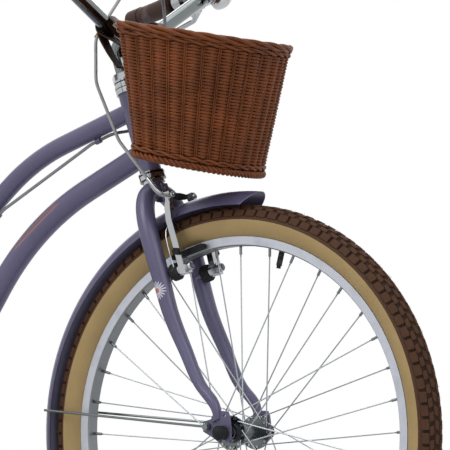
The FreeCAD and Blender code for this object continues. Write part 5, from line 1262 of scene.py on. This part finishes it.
class CRUISER_OT_brake_trim(bpy.types.Operator):
    """Bent guide pipes, rubber boots, spring covers, return springs and bolts of both rim brakes"""

    bl_idname = "cruiser.brake_trim"
    bl_label = "Brake trim"

    wire_rise = 0.1135
    wire_ahead = 0.005
    post_end = 0.0145
    post_bolt = 0.0062
    wire_bolt = 0.0042
    wire_bolt_aside = 0.029
    wire_bolt_ahead = 0.0052
    cover_radius = 0.0125
    cover_length = 0.013
    cover_back = 0.0115
    cover_rib = 0.0006
    cover_edge = 0.0018
    boot_length = 0.0315
    boot_shift = 0.002
    noodle_radius = 0.0027
    # guide pipe's route from the arm: across, up along the steering or stay line, and off it
    noodle_route = ((-0.022, 0.0, 0.0), (-0.040, 0.0005, 0.0), (-0.052, 0.004, 0.0), (-0.0575, 0.014, -0.002),
                    (-0.0560, 0.030, -0.010))
    spring_wire = 0.0009
    # spring leg's route from the pivot: behind it, outward and up
    spring_route = ((0.007, 0.010, 0.0), (0.007, 0.0115, 0.030), (0.006, 0.0095, 0.062),
                    (0.003, 0.004, 0.066))

    def execute(self, context):
        self.steel = plated("guide pipe steel", tone("#c4c7ca"), 0.18)
        self.rubber = moulded("boot rubber", tone("#1c1c1d"), 0.62)
        self.bright = plated("brake bolts", tone("#b9bcc0"), 0.20)
        rear_way = -joint_axis("rear_brake_left_close")
        for word, carrier, axle, out, near in (("front", "steering", FRONT_AXLE, AHEAD, 1),
                                               ("rear", "frame", REAR_AXLE, rear_way, -1)):
            pivots = {side: joint_place(word + "_brake_" + side + "_close") for side in ("left", "right")}
            middle = (pivots["left"] + pivots["right"]) / 2
            up = middle - axle
            up = (up - out * up.dot(out)).normalized()
            wire = middle + up * self.wire_rise + out * self.wire_ahead
            self.pipe(word, carrier, wire, up, out, near)
            for side, pivot in pivots.items():
                self.arm_trim(word + "_brake_" + side, pivot, wire, up, out)
        return {"FINISHED"}

    def pipe(self, word, carrier, wire, up, out, near):
        """The bent pipe that leads the cable across, and the boot over the bare wire."""
        route = [wire + ACROSS * y * near + up * a + out * b for y, a, b in self.noodle_route]
        pipe = strand_curve("pipe", [route], self.noodle_radius, 3, False)
        finished(pipe, word + "_brake_pipe", self.steel, carrier, 50)
        turn = Matrix((ACROSS * near, out * near, up)).transposed().to_4x4()
        spot = wire - ACROSS * self.boot_shift * near
        boot = copies("boot", boot_shape, [(Matrix.Translation(spot) @ turn, self.boot_length)])
        finished(boot, word + "_brake_boot", self.rubber, carrier, 50)

    def arm_trim(self, body, pivot, wire, up, out):
        """Black spring cover behind the arm, its bright spring leg, and the bolts on the arm."""
        turn = out.to_track_quat("Z", "Y").to_matrix().to_4x4()
        deselect()
        bpy.ops.mesh.primitive_cylinder_add(vertices=36, radius=self.cover_radius, depth=self.cover_length)
        cover = eased(bpy.context.object, self.cover_edge, 3, 40)
        pick(cover, "FACE", lambda face: abs(face.normal.z) < 0.2 and face.index % 3 == 0)
        bpy.ops.mesh.extrude_region_shrink_fatten(TRANSFORM_OT_shrink_fatten={"value": self.cover_rib})
        bpy.ops.object.mode_set(mode="OBJECT")
        cover.matrix_world = Matrix.Translation(pivot - out * self.cover_back) @ turn
        settle(cover)
        finished(cover, body + "_spring_cover", self.rubber, body, 40)
        aside = ACROSS * (1 if pivot.y > 0 else -1)
        leg = [pivot - out * behind + aside * y + up * rise for behind, y, rise in self.spring_route]
        spring = strand_curve("spring", [leg], self.spring_wire, 2, False)
        finished(spring, body + "_spring", self.steel, body, 50)
        top = wire + aside * self.wire_bolt_aside + out * self.wire_bolt_ahead
        places = [(Matrix.Translation(pivot + out * self.post_end) @ turn, self.post_bolt),
                  (Matrix.Translation(top) @ turn, self.wire_bolt)]
        finished(copies("bolts", bolt_shape, places), body + "_bolts", self.bright, body, 35)


class CRUISER_OT_grips(bpy.types.Operator):
    """Stitched seams along the leather grips"""

    bl_idname = "cruiser.grips"
    bl_label = "Grip stitching"

    stitch_count = 22
    stitch_length = 0.0052
    seam_share = 0.84
    ray_start = 0.05

    def execute(self, context):
        thread = moulded("grip thread", tone("#a98c62"), 0.7)
        for side, word in ((1, "left"), (-1, "right")):
            axis = joint_axis("brake_lever_" + word + "_pull")
            low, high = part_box("grip_" + word)
            vertices = [vertex.co for vertex in NODES["grip_" + word].data.vertices]
            inner = max(vertices, key=lambda spot: spot.x)
            outer = min(vertices, key=lambda spot: spot.x)
            middle = (low + high) / 2
            along = (outer - inner).normalized()
            along = (along - axis * along.dot(axis)).normalized()
            out = axis.cross(along) * -side
            places = []
            half = (outer - inner).length / 2
            for i in range(self.stitch_count):
                spot = middle + along * half * (self.seam_share * (2 * i / (self.stitch_count - 1) - 1))
                hit = self.skin(word, spot, -out)
                if hit:
                    turn = Matrix((axis, along, axis.cross(along))).transposed().to_4x4()
                    places.append((Matrix.Translation(hit) @ turn, self.stitch_length))
            if not places:
                raise RuntimeError("grip " + word + " has no skin under its seam")
            sewing = copies("sewing", stitch_shape, places)
            finished(sewing, "grip_" + word + "_stitches", thread, "steering")
        return {"FINISHED"}

    def skin(self, word, spot, way):
        """The grip's surface seen from outside along a way."""
        hit, place, _, _ = NODES["grip_" + word].ray_cast(spot + way * self.ray_start, -way)
        return place if hit else None


class CRUISER_OT_finishes(bpy.types.Operator):
    """Gives every solid its finish: paint, plating, alloy, steel, rubber, leather and housing"""

    bl_idname = "cruiser.finishes"
    bl_label = "Finishes"

    flower_size = 0.0145
    flower_petals = 18
    flower_up = 0.2078
    flower_back = -0.1072
    flower_reach = 0.0645
    stripe_spot = Vector((0.1790, 0, 0.6463))
    stripe_way = Vector((0.785, 0, 0.619)).normalized()
    stripe_half = 0.062
    # the two copper lines: offset from the tube's middle, and half of the line's width
    stripes = ((-0.0030, 0.0011), (0.0022, 0.0006))
    # dark lines of the headset: height above the head tube's top, and half of the line's width
    seal_lines = ((0.0085, 0.0006), (0.0176, 0.0009), (-0.1303, 0.0012), (-0.1388, 0.0006))

    def execute(self, context):
        lavender = paint("lavender paint")
        chrome = plated("bright chrome", tone("#7b8081"), 0.07, 0.03)
        steel = brushed("drive steel", tone("#8c8d90"), 0.34)
        black = enamel("black enamel", tone("#1b1b1d"))
        rubber = moulded("black rubber", tone("#131313"), 0.66)
        plastic = moulded("black plastic", tone("#0f0f10"), 0.5)
        by_slot = {
            "frame_paint": lavender, "chrome": chrome, "steel": steel, "black_metal": black,
            "black_rubber": rubber, "black_plastic": plastic,
            "brake_alloy": plated("brake alloy", tone("#b2b4b7"), 0.14, 0.06),
            "dark_leather": hide("grip leather", chosen("leather"), 800, 0.5),
            "cable_housing": housing("dark cable", chosen("dark_cable")),
        }
        flowers = []
        for side in (-1, 1):
            spot = FRONT_AXLE + Vector((self.flower_back, side * self.flower_reach, self.flower_up))
            flowers.append((spot, ACROSS * side, self.flower_size, self.flower_petals))
        hub = plated("polished hub", tone("#6c7073"), 0.16)
        head = joint_place("steering_turn")
        seals = [(head + HEAD_AXIS * up, half) for up, half in self.seal_lines]
        cups = plated("headset chrome", tone("#b4b7ba"), 0.09, 0.03, seals)
        by_node = {
            "fork": paint("fork paint with daisies", flowers=flowers),
            "headset_cups": cups,
            "headset_nuts": cups,
            "lower_tube": paint("lower tube paint with copper lines", lines=self.copper_lines),
            "front_rim": rim_alloy("front rim alloy", FRONT_AXLE),
            "rear_rim": rim_alloy("rear rim alloy", REAR_AXLE),
            "front_spokes": spoke_steel("front spokes", FRONT_AXLE),
            "rear_spokes": spoke_steel("rear spokes", REAR_AXLE),
            "front_hub": hub,
            "rear_hub": hub,
            "front_brake_cable": housing("silver cable", chosen("silver_cable")),
            "rear_brake_cable": housing("grey cable", tone("#8b8e92")),
            "chain": brushed("oiled chain steel", tone("#6f6a64"), 0.38, (1, 0.1, 1)),
            "bell": plated("bell chrome", tone("#d3d5d8"), 0.05),
        }
        for part in frame["record"]["subparts"]:
            slots = NODES[part["node"]].data.materials
            slots.clear()
            slots.append(by_node.get(part["node"]) or by_slot.get(part["material_slot"], rubber))
        return {"FINISHED"}

    def copper_lines(self, made):
        """Two thin copper lines with pointed ends, on both sides of the tube."""
        normal = self.stripe_way.cross(ACROSS).normalized()
        along, up = (made.along(self.stripe_spot, way) for way in (self.stripe_way, normal))
        ends = (1 - along.maths("ABSOLUTE") / self.stripe_half).ramp(0.0, 0.30)
        lines = None
        for shift, half in self.stripes:
            line = 1 - ((up - shift).maths("ABSOLUTE") - ends * half).ramp(-0.0001, 0.0002)
            lines = line if lines is None else lines.maths("MAXIMUM", line)
        return lines * ends.ramp(0.0, 0.1) * 0.9


class CRUISER_OT_stage(bpy.types.Operator):
    """Pale floor, soft lamps, white surround and the photograph's camera"""

    bl_idname = "cruiser.stage"
    bl_label = "Studio"

    floor_radius = 11.0
    floor_tone = (0.86, 0.86, 0.86, 1)
    # distances between which the floor passes into the white surround
    floor_fade = (2.2, 5.0)
    plain_light = (0.30, 0.30, 0.31, 1)
    white = (1, 1, 1, 1)
    # each lamp: name, place, size and power
    lamps = (
        ("key lamp", (-0.6, -3.2, 3.6), 3.0, 86.0),
        ("fill lamp", (3.8, -1.4, 2.2), 2.6, 30.0),
        ("top lamp", (0.3, 0.2, 4.4), 3.6, 64.0),
        ("back lamp", (-1.6, 3.4, 2.6), 2.6, 38.0),
    )
    aim = Vector((0.25, 0.0, 0.5))

    def execute(self, context):
        self.floor()
        for name, place, size, power in self.lamps:
            light = bpy.data.lights.new(name, "AREA")
            light.size = size
            light.energy = power
            lamp = linked(name, light)
            lamp.location = place
            lamp.rotation_euler = (self.aim - Vector(place)).to_track_quat("-Z", "Y").to_euler()
        self.surround(context.scene)
        self.camera(context.scene)
        context.scene.view_settings.view_transform = "Standard"
        return {"FINISHED"}

    def floor(self):
        """A pale disc that keeps the shadow and passes into the white surround far off."""
        deselect()
        bpy.ops.mesh.primitive_circle_add(vertices=96, radius=self.floor_radius, fill_type="NGON")
        floor = bpy.context.object
        floor.name = "studio_floor"
        made = Finish("studio floor", 0.8, specular=0.1)
        made.shader.inputs["Base Color"].default_value = self.floor_tone
        x, y, _ = made.axes()
        far = (x * x + y * y).maths("SQRT").ramp(*self.floor_fade)
        path = made.nodes.new("ShaderNodeLightPath").outputs
        seen = Wire(made, path["Is Camera Ray"])
        for ray in ("Is Glossy Ray", "Is Transmission Ray"):
            seen = seen.maths("MAXIMUM", Wire(made, path[ray]))
        glow = made.node("ShaderNodeEmission", None, {"Color": self.white, "Strength": 1.0})
        plain = Wire(made, made.shader.outputs[0])
        blend = made.node("ShaderNodeMixShader", None, {0: far * seen, 1: plain, 2: glow})
        made.links.new(blend.socket, made.nodes["Material Output"].inputs["Surface"])
        floor.data.materials.append(made.material)

    def surround(self, scene):
        """White for the eye, metal and glass, and plain light for the rest."""
        world = bpy.data.worlds.new("studio surround")
        scene.world = world
        world.use_nodes = True
        nodes, links = world.node_tree.nodes, world.node_tree.links
        back = nodes["Background"]
        path = nodes.new("ShaderNodeLightPath").outputs
        seen = path["Is Camera Ray"]
        for ray in ("Is Glossy Ray", "Is Transmission Ray"):
            either = nodes.new("ShaderNodeMath")
            either.operation = "MAXIMUM"
            links.new(seen, either.inputs[0])
            links.new(path[ray], either.inputs[1])
            seen = either.outputs[0]
        white = nodes.new("ShaderNodeMix")
        white.data_type = "RGBA"
        white.inputs[6].default_value = self.plain_light
        white.inputs[7].default_value = self.white
        links.new(seen, white.inputs[0])
        links.new(white.outputs[2], back.inputs["Color"])
        back.inputs["Strength"].default_value = 1.0

    def camera(self, scene):
        """The camera where the photograph was taken."""
        view = scene.cruiser_camera
        data = bpy.data.cameras.new("photograph camera")
        data.lens = view.lens
        data.clip_end = 200
        camera = linked("photograph camera", data)
        level = Vector((-math.sin(view.azimuth), math.cos(view.azimuth), 0))
        look = level * math.cos(view.pitch) + UP * math.sin(view.pitch)
        turn = look.to_track_quat("-Z", "Y").to_matrix() @ Matrix.Rotation(-view.roll, 3, "Z")
        camera.matrix_world = Matrix.Translation(Vector(view.place)) @ turn.to_4x4()
        scene.camera = camera


STEPS = (CRUISER_OT_stage, CRUISER_OT_finishes, CRUISER_OT_cable_loop, CRUISER_OT_tyres, CRUISER_OT_basket,
         CRUISER_OT_straps, CRUISER_OT_saddle, CRUISER_OT_brake_trim, CRUISER_OT_grips)
GROUPS = {"cruiser_colours": CruiserColours, "cruiser_basket": CruiserBasket, "cruiser_tyre": CruiserTyre,
          "cruiser_camera": CruiserCamera}


class CRUISER_PT_panel(bpy.types.Panel):
    """Buttons for each step and the values that it reads"""

    bl_idname = "CRUISER_PT_panel"
    bl_label = "Beach Cruiser"
    bl_space_type = "VIEW_3D"
    bl_region_type = "UI"
    bl_category = "Cruiser"

    def draw(self, context):
        for step in STEPS:
            self.layout.operator(step.bl_idname)
        for name, group in GROUPS.items():
            for value in group.__annotations__:
                self.layout.prop(getattr(context.scene, name), value)


def register():
    for kind in (*GROUPS.values(), *STEPS, CRUISER_PT_panel):
        bpy.utils.register_class(kind)
    for name, group in GROUPS.items():
        setattr(bpy.types.Scene, name, PointerProperty(type=group))


def unregister():
    for name in GROUPS:
        delattr(bpy.types.Scene, name)
    for kind in (CRUISER_PT_panel, *STEPS, *GROUPS.values()):
        bpy.utils.unregister_class(kind)


def main():
    register()
    for step in STEPS:
        family, word = step.bl_idname.split(".")
        getattr(getattr(bpy.ops, family), word)()


if __name__ == "__main__":
    main()
